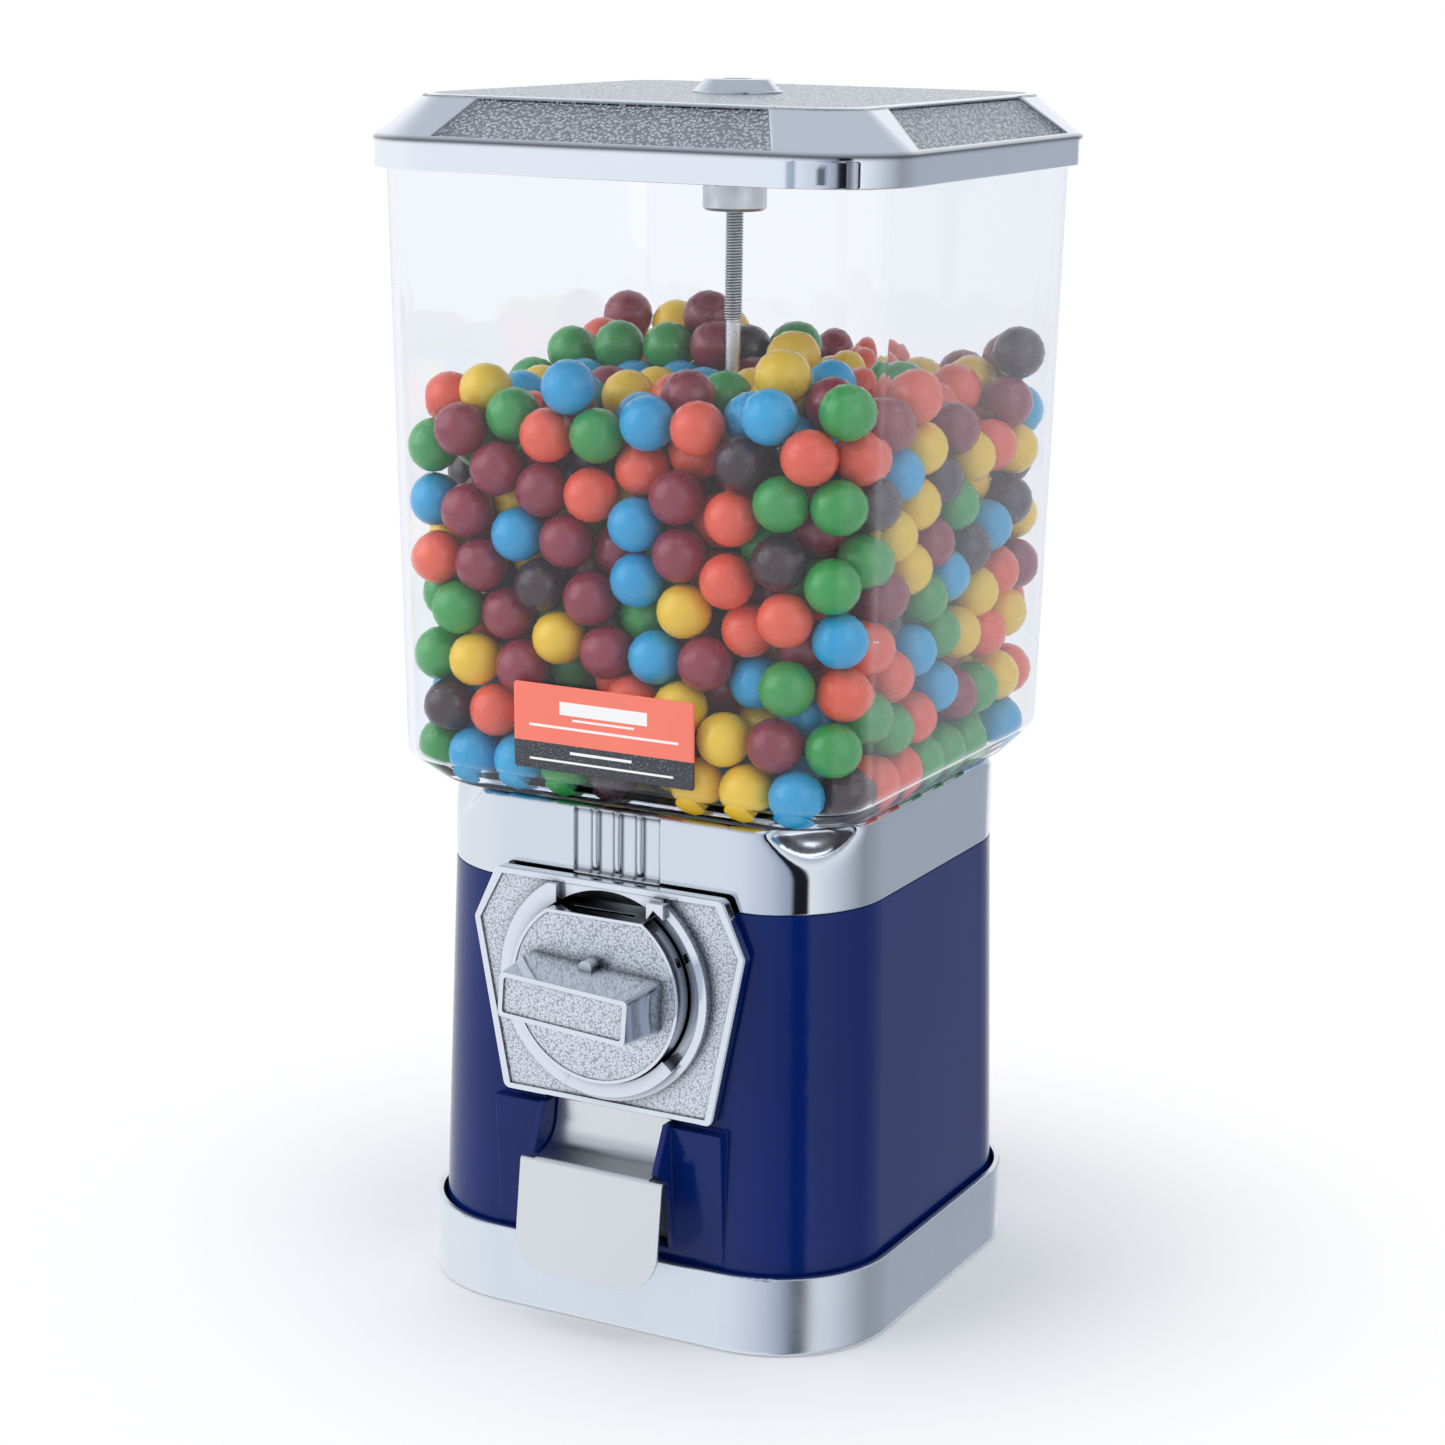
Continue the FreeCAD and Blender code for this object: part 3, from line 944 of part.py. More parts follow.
def make_flap():
    """Stainless flap: one bent sheet, narrow between the lips and wide below them, on a pin."""
    pin_end = "mouth_half + lip_thick"
    pin = bar("pin_radius", f"-({pin_end})", pin_end, ("-pin_back", "pin_height"), "x")
    node("flap_pin", pin)

    def turn_round(before, corner, after, radius):
        """The two tangent points and the middle of an arc that rounds a corner."""
        out, home = (before - corner).normalize(), (after - corner).normalize()
        half = out.getAngle(home) / 2
        reach = radius / math.tan(half)
        middle = corner + (out + home).normalize() * (radius / math.sin(half))
        return corner + out * reach, middle + (corner - middle).normalize() * radius, corner + home * reach

    def spot(back, height):
        return Vector(0, -size(back), size(height))

    start = spot("pin_back + pin_radius + 0.6", "pin_height")
    knee = spot("cheek_front - 4.2", "flap_bend + 3.2")
    bend = spot("cheek_front + 10.6", "flap_bend - 0.4")
    end = spot("cheek_front + 15.4", "flap_low")
    first = turn_round(start, knee, bend, 10)
    second = turn_round(knee, bend, end, 2.6)
    path = Part.Wire([Part.LineSegment(start, first[0]).toShape(), Part.Arc(*first).toShape(),
                      Part.LineSegment(first[2], second[0]).toShape(), Part.Arc(*second).toShape(),
                      Part.LineSegment(second[2], end).toShape()])
    thick = size("flap_thick")
    face = path.makeOffset2D(-thick, join=0, fill=True, openResult=True)
    wide, narrow = size("flap_half"), size("mouth_half") - 0.6
    sheet_metal = face.extrude(Vector(2 * wide, 0, 0))
    sheet_metal.translate(Vector(-wide, 0, 0))
    ear_top = size("flap_bend") - 0.6
    for side in (narrow, -wide - 1):
        waste = Part.makeBox(wide - narrow + 1, 60, 60, Vector(side, -size("cheek_front") - 25, ear_top))
        sheet_metal = sheet_metal.cut(waste)
    corner, low = size("flap_corner"), size("flap_low")
    for side in (1, -1):
        x = side * (wide - corner)
        square = Part.makeBox(corner + 1, 40, corner + 1,
                              Vector(x if side > 0 else x - corner - 1, -size("cheek_front") - 30, low - 1))
        middle = Vector(x, -size("cheek_front") - 35, low + corner)
        disc = Part.makeCylinder(corner, 60, middle, Vector(0, 1, 0))
        sheet_metal = sheet_metal.cut(square.cut(disc))
    bore, half = size("pin_radius + running"), size("mouth_half") - 3
    centre = Vector(-half, -size("pin_back"), size("pin_height"))
    along = Vector(1, 0, 0)
    knuckle = Part.makeCylinder(bore + 0.9, 2 * half, centre, along)
    reach = Vector(wide, 0, 0)
    hole = Part.makeCylinder(bore, 2 * wide, Vector(0, centre.y, centre.z) - reach, along)
    solid = sheet_metal.fuse(knuckle).cut(hole)
    flap = doc.addObject("Part::Feature", "flap")
    flap.Shape = solid.removeSplitter()
    node("flap", flap)


# ---------------------------------------------------------------- build, check, write
for make in (make_base, make_body_shell, make_collar, make_deck, make_rod, make_wheel, make_hopper, make_lid,
             make_face_plate, make_bezel, make_dial, make_housing, make_chute, make_flap):
    make()
doc.recompute()

for thing in doc.Objects:
    if {"Invalid", "Error"} & set(thing.State):
        raise RuntimeError(f"{thing.Name} ({thing.Label}) failed: {thing.State}")
for name, thing in nodes.items():
    if thing.Shape.isNull() or not thing.Shape.isValid() or not thing.Shape.Solids:
        raise RuntimeError(f"{name} has no valid solid")
for name, thing in nodes.items():
    thing.Shape.exportStep(f"parts/{name}.step")
    bounds = thing.Shape.BoundBox
    print(f"{name:14s} {len(thing.Shape.Solids)} solid(s) {thing.Shape.Volume:10.0f} mm3  "
          f"x {bounds.XMin:.1f}..{bounds.XMax:.1f}  y {bounds.YMin:.1f}..{bounds.YMax:.1f}  "
          f"z {bounds.ZMin:.1f}..{bounds.ZMax:.1f}")
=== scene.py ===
# %% [markdown]
# # A countertop gumball machine
# The working model (every plastic, cast and bent-metal part) comes in as a fixed frame of solids.
# This lesson dresses it: thin clear and plated shells are worked out again as fine surfaces, the
# hopper is filled with gumballs that really lie on each other, and every part gets its finish.
# Everything is in metres; the rod's axis is X = Y = 0 and the coin dial faces -Y.

# %% The frame
import math

import bpy
import numpy as np
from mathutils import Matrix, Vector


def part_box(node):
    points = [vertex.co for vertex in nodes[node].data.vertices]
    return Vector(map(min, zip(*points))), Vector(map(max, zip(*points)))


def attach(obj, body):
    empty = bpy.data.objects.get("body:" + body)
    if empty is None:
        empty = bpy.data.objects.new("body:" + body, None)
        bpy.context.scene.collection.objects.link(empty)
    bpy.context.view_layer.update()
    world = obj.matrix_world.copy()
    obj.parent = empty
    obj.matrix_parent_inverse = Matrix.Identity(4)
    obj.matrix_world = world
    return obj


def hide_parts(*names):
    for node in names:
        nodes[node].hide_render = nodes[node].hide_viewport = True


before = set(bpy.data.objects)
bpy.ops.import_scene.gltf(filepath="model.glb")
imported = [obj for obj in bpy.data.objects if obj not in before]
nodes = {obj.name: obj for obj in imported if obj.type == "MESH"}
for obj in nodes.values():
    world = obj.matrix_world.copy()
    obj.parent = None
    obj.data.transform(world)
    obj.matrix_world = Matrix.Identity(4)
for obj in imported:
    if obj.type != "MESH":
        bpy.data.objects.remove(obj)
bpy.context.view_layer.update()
MM = 0.001
SEED = 11

# %% [markdown]
# ## Camera
# A product picture is taken from a little above, with the machine turned to show two sides.
# A long lens from more than a metre away keeps the upright edges nearly parallel. The camera is
# placed by two angles round a point on the rod, which is easier to set than three coordinates.

# %% Camera
AZIMUTH, ELEVATION, ROLL = (math.radians(a) for a in (27.58, 13.33, 0.726))
AIM_HEIGHT, AIM_SIDE, DISTANCE = 0.20068, -0.00236, 1.18075
LENS, SENSOR = 81.11, 36.0


def camera_frame(azimuth, elevation, roll):
    """Right, up and backward directions: back points from the aim to the camera, right is level,
    up is their cross product, and roll turns right and up about back."""
    back = np.array([math.sin(azimuth) * math.cos(elevation),
                     -math.cos(azimuth) * math.cos(elevation), math.sin(elevation)])
    right = np.array([math.cos(azimuth), math.sin(azimuth), 0.0])
    up = np.cross(back, right)
    turn = (math.cos(roll), math.sin(roll))
    return right * turn[0] + up * turn[1], up * turn[0] - right * turn[1], back


right, up, back = camera_frame(AZIMUTH, ELEVATION, ROLL)
level = np.array([math.cos(AZIMUTH), math.sin(AZIMUTH), 0.0])
place = np.array([0, 0, AIM_HEIGHT]) + level * AIM_SIDE + back * DISTANCE
from mathutils import Matrix

camera = bpy.data.objects.new("camera", bpy.data.cameras.new("camera"))
camera.data.lens, camera.data.sensor_width = LENS, SENSOR
turn = Matrix(np.column_stack([right, up, back]).tolist()).to_4x4()
camera.matrix_world = Matrix.Translation(place.tolist()) @ turn
bpy.context.scene.collection.objects.link(camera)
bpy.context.scene.camera = camera
print("camera at", place.round(3))

# %% [markdown]
# ## Studio
# Plated parts show the room more than themselves, so the room is most of their look. A white tent
# with one darker gap beside the camera gives pale plating with a single dark stripe at each rounded
# corner. The floor is a pale matt disc.

# %% Studio
def add_node(tree, kind, links=(), **settings):
    """A shader node with its settings; links are (socket, value or socket) pairs."""
    made = tree.nodes.new("ShaderNode" + kind)
    for key, value in settings.items():
        setattr(made, key, value)
    for socket, value in links:
        if isinstance(value, bpy.types.NodeSocket):
            tree.links.new(value, made.inputs[socket])
        else:
            made.inputs[socket].default_value = value
    return made


def calc(tree, operation, first, second=0.0, third=0.0):
    return add_node(tree, "Math", ((0, first), (1, second), (2, third)), operation=operation).outputs[0]


def blend(tree, factor, first, second):
    """A mix of two colours or shader colours, by a factor."""
    def whole(colour):
        return (*colour, 1) if isinstance(colour, tuple) and len(colour) == 3 else colour
    made = add_node(tree, "Mix", ((0, factor), (6, whole(first)), (7, whole(second))), data_type="RGBA")
    return made.outputs[2]


def ramp(tree, value, *stops):
    """A colour ramp; stops are (place, grey or colour)."""
    made = add_node(tree, "ValToRGB", ((0, value),))
    table = made.color_ramp.elements
    while len(table) < len(stops):
        table.new(0.5)
    for element, (spot, colour) in zip(table, stops):
        element.position = spot
        element.color = (*colour, 1) if hasattr(colour, "__len__") else (colour, colour, colour, 1)
    return made.outputs[0]


world = bpy.data.worlds.new("studio")
world.use_nodes = True
bpy.context.scene.world = world
sky = world.node_tree
towards = add_node(sky, "TexCoord").outputs["Generated"]
split = add_node(sky, "SeparateXYZ", ((0, towards),))
# azimuth from the front, -180..180 degrees as 0..1, positive to the right
compass = calc(sky, "ARCTAN2", split.outputs[0], calc(sky, "MULTIPLY", split.outputs[1], -1))
compass = calc(sky, "MULTIPLY_ADD", compass, 1 / (2 * math.pi), 0.5)
PALE, DIM, DARK = (0.97, 0.99, 1.02), (0.32, 0.34, 0.38), (0.012, 0.013, 0.018)


def bearing(degrees):
    return 0.5 + degrees / 360


walls = ramp(sky, compass, (0.0, PALE), (bearing(-60), PALE), (bearing(-12), (0.84, 0.88, 0.97)),
             (bearing(18), (0.62, 0.67, 0.78)), (bearing(38), (0.36, 0.41, 0.52)), (bearing(42), DARK),
             (bearing(55), DARK), (bearing(58), PALE), (bearing(84), (0.7, 0.74, 0.82)), (bearing(120), DIM),
             (bearing(168), (0.46, 0.5, 0.58)), (1.0, PALE))
height = add_node(sky, "SeparateXYZ", ((0, towards),)).outputs[2]
overhead = add_node(sky, "MapRange", ((0, height), (1, 0.35), (2, 0.8)), interpolation_type="SMOOTHSTEP")
tent = blend(sky, overhead.outputs[0], walls, (0.55, 0.59, 0.66))
seen = add_node(sky, "LightPath")
through = calc(sky, "MAXIMUM", seen.outputs["Is Camera Ray"], seen.outputs["Is Transmission Ray"])
backdrop = blend(sky, through, tent, (1.0, 1.0, 1.0))
surface = next(n for n in sky.nodes if n.type == "BACKGROUND")
sky.links.new(backdrop, surface.inputs["Color"])
surface.inputs["Strength"].default_value = 1.0

FLOOR_RADIUS = 0.62


def disc_mesh(name, radius, rings=3, spokes=96):
    """A flat disc: rings of points at equal steps of radius, joined to a middle point."""
    around = np.linspace(0, 2 * math.pi, spokes, endpoint=False)
    reach = np.linspace(radius / rings, radius, rings)
    ring = np.stack([np.outer(reach, np.cos(around)), np.outer(reach, np.sin(around)),
                     np.zeros((rings, spokes))], -1).reshape(-1, 3)
    points = np.vstack([[[0, 0, 0]], ring])
    k = np.arange(spokes)
    after = (k + 1) % spokes
    faces = [tuple(f) for f in np.stack([0 * k, 1 + k, 1 + after], 1)]
    for r in range(rings - 1):
        low, high = 1 + r * spokes, 1 + (r + 1) * spokes
        faces += [tuple(f) for f in np.stack([low + k, high + k, high + after, low + after], 1)]
    mesh = bpy.data.meshes.new(name)
    mesh.from_pydata(points.tolist(), [], [tuple(int(i) for i in f) for f in faces])
    return mesh


floor = bpy.data.objects.new("floor", disc_mesh("floor", FLOOR_RADIUS))
bpy.context.scene.collection.objects.link(floor)
pale = bpy.data.materials.new("pale_floor")
pale.use_nodes = True
matt = pale.node_tree.nodes["Principled BSDF"]
matt.inputs["Base Color"].default_value = (0.93, 0.92, 0.91, 1)
matt.inputs["Roughness"].default_value = 0.9
glow = add_node(pale.node_tree, "Emission", (("Color", (1.0, 1.0, 1.0, 1)), ("Strength", 1.0)))
floor_spot = add_node(pale.node_tree, "TexCoord").outputs["Object"]
out_from = add_node(pale.node_tree, "VectorMath", ((0, floor_spot),), operation="LENGTH").outputs["Value"]
MELT_FROM, MELT_TO = 0.1, 0.3
melt = add_node(pale.node_tree, "MapRange", ((0, out_from), (1, MELT_FROM), (2, MELT_TO)),
                interpolation_type="SMOOTHSTEP")
melted = add_node(pale.node_tree, "MixShader", ((0, melt.outputs[0]), (1, matt.outputs[0]), (2, glow.outputs[0])))
pale.node_tree.links.new(melted.outputs[0], pale.node_tree.nodes["Material Output"].inputs["Surface"])
floor.data.materials.append(pale)
floor.visible_glossy = False


def softbox(name, spot, aim, width, height, watts, colour=(1, 1, 1)):
    """An area light at a spot, facing its aim."""
    lamp = bpy.data.lights.new(name, "AREA")
    lamp.shape, lamp.size, lamp.size_y, lamp.energy, lamp.color = "RECTANGLE", width, height, watts, colour
    stand = bpy.data.objects.new(name, lamp)
    bpy.context.scene.collection.objects.link(stand)
    away = np.array(spot) - np.array(aim)
    away = away / np.linalg.norm(away)
    side = np.cross([0, 0, 1], away)
    side = side / np.linalg.norm(side)
    pose = Matrix(np.column_stack([side, np.cross(away, side), away]).tolist()).to_4x4()
    stand.matrix_world = Matrix.Translation(spot) @ pose
    stand.visible_glossy = False
    return stand


softbox("key_left", (-1.5, -1.3, 1.3), (0, 0, 0.25), 2.0, 2.0, 22)
softbox("fill_right", (1.9, -0.8, 1.1), (0, 0, 0.25), 1.6, 1.8, 9)
softbox("top", (0.1, 0.1, 1.9), (0, 0, 0.2), 1.8, 1.8, 12)
view = bpy.context.scene.view_settings
view.view_transform = "Standard"
print("studio: tent, 3 softboxes, floor disc")

# %% [markdown]
# ## Finishes
# Each finish has a grain of its own: moulded plastic has a faint orange peel, plating is never quite
# flat, cast zinc carries a leather grain in its fields. They read Object coordinates, which are the
# machine's own metres, so a grain keeps its real size on every part.

# %% Finishes
def new_finish(name, colour, metallic=0.0, roughness=0.3, **sockets):
    """A material with one Principled shader; constants go straight on its sockets."""
    made = bpy.data.materials.new(name)
    made.use_nodes = True
    shader = made.node_tree.nodes["Principled BSDF"]
    shader.inputs["Base Color"].default_value = (*colour, 1)
    shader.inputs["Metallic"].default_value = metallic
    shader.inputs["Roughness"].default_value = roughness
    for socket, value in sockets.items():
        shader.inputs[socket.replace("_", " ").title().replace("Ior", "IOR")].default_value = value
    return made, made.node_tree, shader


def here(tree):
    return add_node(tree, "TexCoord").outputs["Object"]


def noise(tree, scale, detail=2.0, roughness=0.5, spot=None):
    """Cloudy noise; scale is how many cells to a metre."""
    return add_node(tree, "TexNoise", (("Vector", spot or here(tree)), ("Scale", scale), ("Detail", detail),
                                       ("Roughness", roughness))).outputs["Fac"]


def span(tree, value, low, high, to_low=0.0, to_high=1.0, smooth=False):
    """A value carried from one span to another, held inside it."""
    made = add_node(tree, "MapRange", ((0, value), (1, low), (2, high), (3, to_low), (4, to_high)))
    made.interpolation_type = "SMOOTHSTEP" if smooth else "LINEAR"
    return made.outputs[0]


def relief(tree, shader, height, depth, strength=1.0, under=None):
    """A bump of a depth in metres, over another one or over rounded edges."""
    made = add_node(tree, "Bump", (("Strength", strength), ("Distance", depth), ("Height", height)))
    if under is not None:
        tree.links.new(under, made.inputs["Normal"])
    tree.links.new(made.outputs[0], shader.inputs["Normal"])
    return made.outputs[0]


def tint(tree, shader, factor, low, high):
    """Base colour between two colours."""
    made = blend(tree, factor, tuple(low), tuple(high))
    tree.links.new(made, shader.inputs["Base Color"])
    return made


def paint_crevice_shade(tree, shader, colour, strength=0.85):
    """Painted shade: carries a base colour towards dark where the piece's own crevice shade attribute is 1."""
    crevice_shade = add_node(tree, "Attribute", attribute_name="crevice_shade").outputs["Fac"]
    shade_amount = calc(tree, "MULTIPLY", crevice_shade, strength)
    tree.links.new(blend(tree, shade_amount, colour, (0.03, 0.032, 0.038)), shader.inputs["Base Color"])


def set_field(mesh, name, field):
    mesh.attributes.new(name, "FLOAT", "POINT").data.foreach_set("value", np.ravel(field).astype(np.float32))


def rough(tree, shader, factor, low, high):
    tree.links.new(span(tree, factor, 0.3, 0.7, low, high), shader.inputs["Roughness"])


def soft_edges(tree, radius):
    """Normals that turn over each edge within a radius, as a cast or moulded edge does."""
    return add_node(tree, "Bevel", (("Radius", radius),), samples=4).outputs[0]


def blue_plastic():
    made, tree, shader = new_finish("blue_plastic", (0.003, 0.02, 0.2), roughness=0.12,
                                    specular_ior_level=0.28)
    tint(tree, shader, noise(tree, 14, 3), (0.001, 0.011, 0.095), (0.0014, 0.016, 0.14))
    rough(tree, shader, noise(tree, 300, 3), 0.1, 0.17)
    relief(tree, shader, noise(tree, 420, 1), 0.00002, 0.25, soft_edges(tree, 0.0009))
    return made


def plating(name, colour, low, high, wave=0.6):
    """Bright plating: roughness drifts, faint long waves from the plastic or casting below."""
    made, tree, shader = new_finish(name, colour, 1.0, low)
    rough(tree, shader, noise(tree, 40, 4), low, high)
    # painted shade in crevices, from the piece's crevice shade attribute
    paint_crevice_shade(tree, shader, tint(tree, shader, noise(tree, 22, 2), colour, tuple(c * 0.94 for c in colour)))
    relief(tree, shader, noise(tree, 30, 1), 0.0001, wave * 0.3, soft_edges(tree, 0.0005))
    return made


def leather_grain(name, fields, colour=(0.74, 0.77, 0.81)):
    """Plated casting: polished, with a pebbled grain wherever the surface lies at one of the field
    depths along Y (metres). The low places between the pebbles are painted darker as shade, and an
    ambient occlusion node paints shade into nooks and under overhangs."""
    made, tree, shader = new_finish(name, colour, 1.0, 0.12)
    spot = here(tree)
    deep = add_node(tree, "SeparateXYZ", ((0, spot),)).outputs[1]
    mask = None
    for depth in fields:
        near = calc(tree, "ABSOLUTE", calc(tree, "SUBTRACT", deep, depth))
        near = span(tree, near, 0.00006, 0.0001, 1.0, 0.0)
        mask = near if mask is None else calc(tree, "MAXIMUM", mask, near)
    pebbles = add_node(tree, "TexVoronoi", (("Vector", spot), ("Scale", 1150.0), ("Randomness", 1.0)),
                       feature="F1").outputs["Distance"]
    worms = noise(tree, 1700, 2, 0.55)
    height = calc(tree, "MULTIPLY_ADD", pebbles, -0.7, calc(tree, "MULTIPLY", worms, 1.0))
    # painted shade in the grain's low places
    grain_low_shade = calc(tree, "MULTIPLY", span(tree, height, -0.02, 0.2, 1.0, 0.0), mask)
    base = blend(tree, grain_low_shade, tuple(min(1, c * 1.06) for c in colour), tuple(c * 0.55 for c in colour))
    # painted shade: ambient occlusion darkens nooks, steps and the places under overhangs
    occlusion_shade = add_node(tree, "AmbientOcclusion", (("Distance", 0.006),), samples=6).outputs["AO"]
    shaded = blend(tree, span(tree, occlusion_shade, 0.35, 0.9, 0.9, 0.0), base, (0.03, 0.033, 0.04))
    tree.links.new(shaded, shader.inputs["Base Color"])
    relief(tree, shader, calc(tree, "MULTIPLY", height, mask), 0.00016, 0.7, soft_edges(tree, 0.0003))
    tree.links.new(calc(tree, "MULTIPLY_ADD", mask, 0.2, 0.1), shader.inputs["Roughness"])
    return made


def clear_plastic():
    """Clear acrylic: glass for every ray but shadow and diffuse rays, which pass as through a window."""
    made = bpy.data.materials.new("clear_plastic")
    made.use_nodes = True
    tree = made.node_tree
    tree.nodes.remove(tree.nodes["Principled BSDF"])
    out = tree.nodes["Material Output"]
    glass = add_node(tree, "BsdfGlass", (("Color", (0.985, 0.99, 1.0, 1)), ("Roughness", 0.0), ("IOR", 1.36)))
    window = add_node(tree, "BsdfTransparent", (("Color", (0.97, 0.98, 0.99, 1)),))
    ray = add_node(tree, "LightPath")
    passing = calc(tree, "MAXIMUM", ray.outputs["Is Shadow Ray"], ray.outputs["Is Diffuse Ray"])
    both = add_node(tree, "MixShader", ((0, passing), (1, glass.outputs[0]), (2, window.outputs[0])))
    wave = add_node(tree, "Bump", (("Strength", 0.12), ("Distance", 0.0002), ("Height", noise(tree, 26, 1))))
    tree.links.new(wave.outputs[0], glass.inputs["Normal"])
    tree.links.new(both.outputs[0], out.inputs["Surface"])
    body = add_node(tree, "VolumeAbsorption", (("Color", (0.6, 0.68, 0.88, 1)), ("Density", 20.0)))
    tree.links.new(body.outputs[0], out.inputs["Volume"])
    return made


def plain_metal(name, colour, roughness, grain, metallic=1.0, depth=0.00003):
    made, tree, shader = new_finish(name, colour, metallic, roughness)
    rough(tree, shader, noise(tree, grain, 4), roughness * 0.8, roughness * 1.25)
    clouded = tint(tree, shader, noise(tree, grain / 6, 3), colour, tuple(c * 0.86 for c in colour))
    # painted shade in crevices, from the piece's crevice shade attribute
    paint_crevice_shade(tree, shader, clouded)
    relief(tree, shader, noise(tree, grain * 3, 3), depth, 0.5, soft_edges(tree, 0.0003))
    return made


finishes = {
    "blue_plastic": blue_plastic(),
    "collar_chrome": plating("collar_chrome", (0.73, 0.77, 0.82), 0.06, 0.11),
    "tray_chrome": plating("tray_chrome", (0.76, 0.8, 0.85), 0.24, 0.3, wave=0.15),
    "lid_chrome": plating("lid_chrome", (0.74, 0.77, 0.81), 0.08, 0.14),
    "clear_plastic": clear_plastic(),
    "zinc_chrome": leather_grain("zinc_chrome", (-0.0883, -0.0976, -0.1188)),
    "cast_aluminium": plain_metal("cast_aluminium", (0.62, 0.64, 0.66), 0.38, 260),
    "zinc_steel": plain_metal("zinc_steel", (0.84, 0.88, 0.93), 0.3, 300, metallic=0.75),
    "stainless": plain_metal("stainless", (0.84, 0.85, 0.85), 0.3, 14, depth=0.000001),
    "grey_plastic": plain_metal("grey_plastic", (0.16, 0.17, 0.18), 0.4, 300, metallic=0.0),
    "black_foam": plain_metal("black_foam", (0.015, 0.015, 0.016), 0.9, 900, metallic=0.0, depth=0.0003),
    "label": plain_metal("label", (0.9, 0.25, 0.18), 0.45, 500, metallic=0.0),
    "brass": plain_metal("brass", (0.8, 0.58, 0.25), 0.25, 300),
    "bristle": plain_metal("bristle", (0.05, 0.05, 0.05), 0.8, 1200, metallic=0.0),
}
for part in nodes.values():
    slot_names = [s.name.split(".")[0] for s in part.data.materials]
    for i, slot_name in enumerate(slot_names):
        part.data.materials[i] = finishes[slot_name]
print("finishes:", len(finishes))

# %% [markdown]
# ## Rounded-square shells
# Hopper, collar, lid and tray are all the same kind of shape: a square with round corners whose size
# changes with height. One function makes the hopper, collar and lid. Its plan point is the corner's
# centre plus the corner radius in the outward direction, so a shell is a table of rows (half width,
# corner radius, height) against a table of columns (where on the outline).

# %% Shell tools
def outline(side_steps, corner_steps):
    """Columns round a rounded square. Each has a centre sign pair and an outward angle: along a
    corner the angle sweeps 90 degrees about a fixed centre, along a side the centre slides.
    side_steps is a list of places from -1 to 1 along a side, or four such lists."""
    if not hasattr(side_steps[0], "__len__"):
        side_steps = [side_steps] * 4
    signs = np.array([[1, 1], [-1, 1], [-1, -1], [1, -1]], float)
    columns = []
    for quarter in range(4):
        sweep = np.linspace(0, 1, corner_steps + 1)
        angle = (quarter + sweep) * math.pi / 2
        centre = np.repeat(signs[quarter][None], corner_steps + 1, 0)
        columns.append(np.column_stack([centre, angle]))
        steps = (np.array(side_steps[quarter]) + 1) / 2
        steps = steps[(steps > 1e-9) & (steps < 1 - 1e-9)][:, None]
        slide = signs[quarter] * (1 - steps) + signs[(quarter + 1) % 4] * steps
        columns.append(np.column_stack([slide, np.full(len(slide), (quarter + 1) * math.pi / 2)]))
    return np.vstack(columns)


def soften_profile(points, reaches, steps=5):
    """A profile of straight legs whose corners are rounded: each corner is replaced by a quadratic
    curve from a point one reach back along one leg to a point one reach on along the next, with one
    more point just outside each end to hold the shading."""
    points = np.array(points, float)
    before, after = np.roll(points, 1, 0), np.roll(points, -1, 0)
    reaches = np.array(reaches, float)[:, None]

    def toward(other):
        leg = other - points
        length = np.linalg.norm(leg[:, [0, 2]], axis=1)[:, None] + 1e-12
        return leg / length

    start, end = points + toward(before) * reaches, points + toward(after) * reaches
    t = np.linspace(0, 1, steps)[None, :, None]
    bend = start[:, None] * (1 - t) ** 2 + points[:, None] * 2 * t * (1 - t) + end[:, None] * t ** 2
    outer = points + toward(before) * reaches * 1.25, points + toward(after) * reaches * 1.25
    return np.concatenate([outer[0][:, None], bend, outer[1][:, None]], 1).reshape(-1, 3)


def shell_points(rows, columns, warp=None):
    """Grid of points: plan = (half - corner) x centre sign + corner x outward direction. warp(sign)
    may slide the places along the sides, row by row."""
    half, corner, high = (rows[:, i, None] for i in range(3))
    cx, cy, angle = (columns[None, :, i] for i in range(3))
    if warp is not None:
        cx, cy = warp(cx), warp(cy)
    x = (half - corner) * cx + corner * np.cos(angle)
    y = (half - corner) * cy + corner * np.sin(angle)
    return np.stack([x, y, high + 0 * angle], -1)


def grid_mesh(name, points, wrap_rows=True):
    """Quads over a grid whose columns close on themselves, and whose rows do too if asked."""
    rows, cols = points.shape[:2]
    last = rows if wrap_rows else rows - 1
    r, c = np.meshgrid(np.arange(last), np.arange(cols), indexing="ij")
    r2, c2 = (r + 1) % rows, (c + 1) % cols
    quads = np.stack([r * cols + c, r * cols + c2, r2 * cols + c2, r2 * cols + c], -1).reshape(-1, 4)
    mesh = bpy.data.meshes.new(name)
    mesh.vertices.add(rows * cols)
    mesh.vertices.foreach_set("co", points.reshape(-1).astype(np.float32))
    mesh.loops.add(quads.size)
    mesh.loops.foreach_set("vertex_index", quads.reshape(-1).astype(np.int32))
    mesh.polygons.add(len(quads))
    mesh.polygons.foreach_set("loop_start", np.arange(0, quads.size, 4, dtype=np.int32))
    mesh.update(calc_edges=True)
    mesh.shade_smooth()
    return mesh


def show(name, mesh, finish, body, replaced=()):
    """Links a piece, gives it its finish and body, and hides the nodes it stands for."""
    piece = bpy.data.objects.new(name, mesh)
    bpy.context.scene.collection.objects.link(piece)
    piece.data.materials.append(finishes[finish] if isinstance(finish, str) else finish)
    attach(piece, body)
    if replaced:
        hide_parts(*replaced)
    return piece


# %% [markdown]
# ## Hopper
# The hopper is one clear moulding about 2.5 mm thick: drafted walls, a chamfered foot, a flat seat
# and a round neck. A solid glass block would bend the view like a lens, so the shell has an outer and
# an inner surface, made as one profile that runs up the outside, over the rim and down the inside.

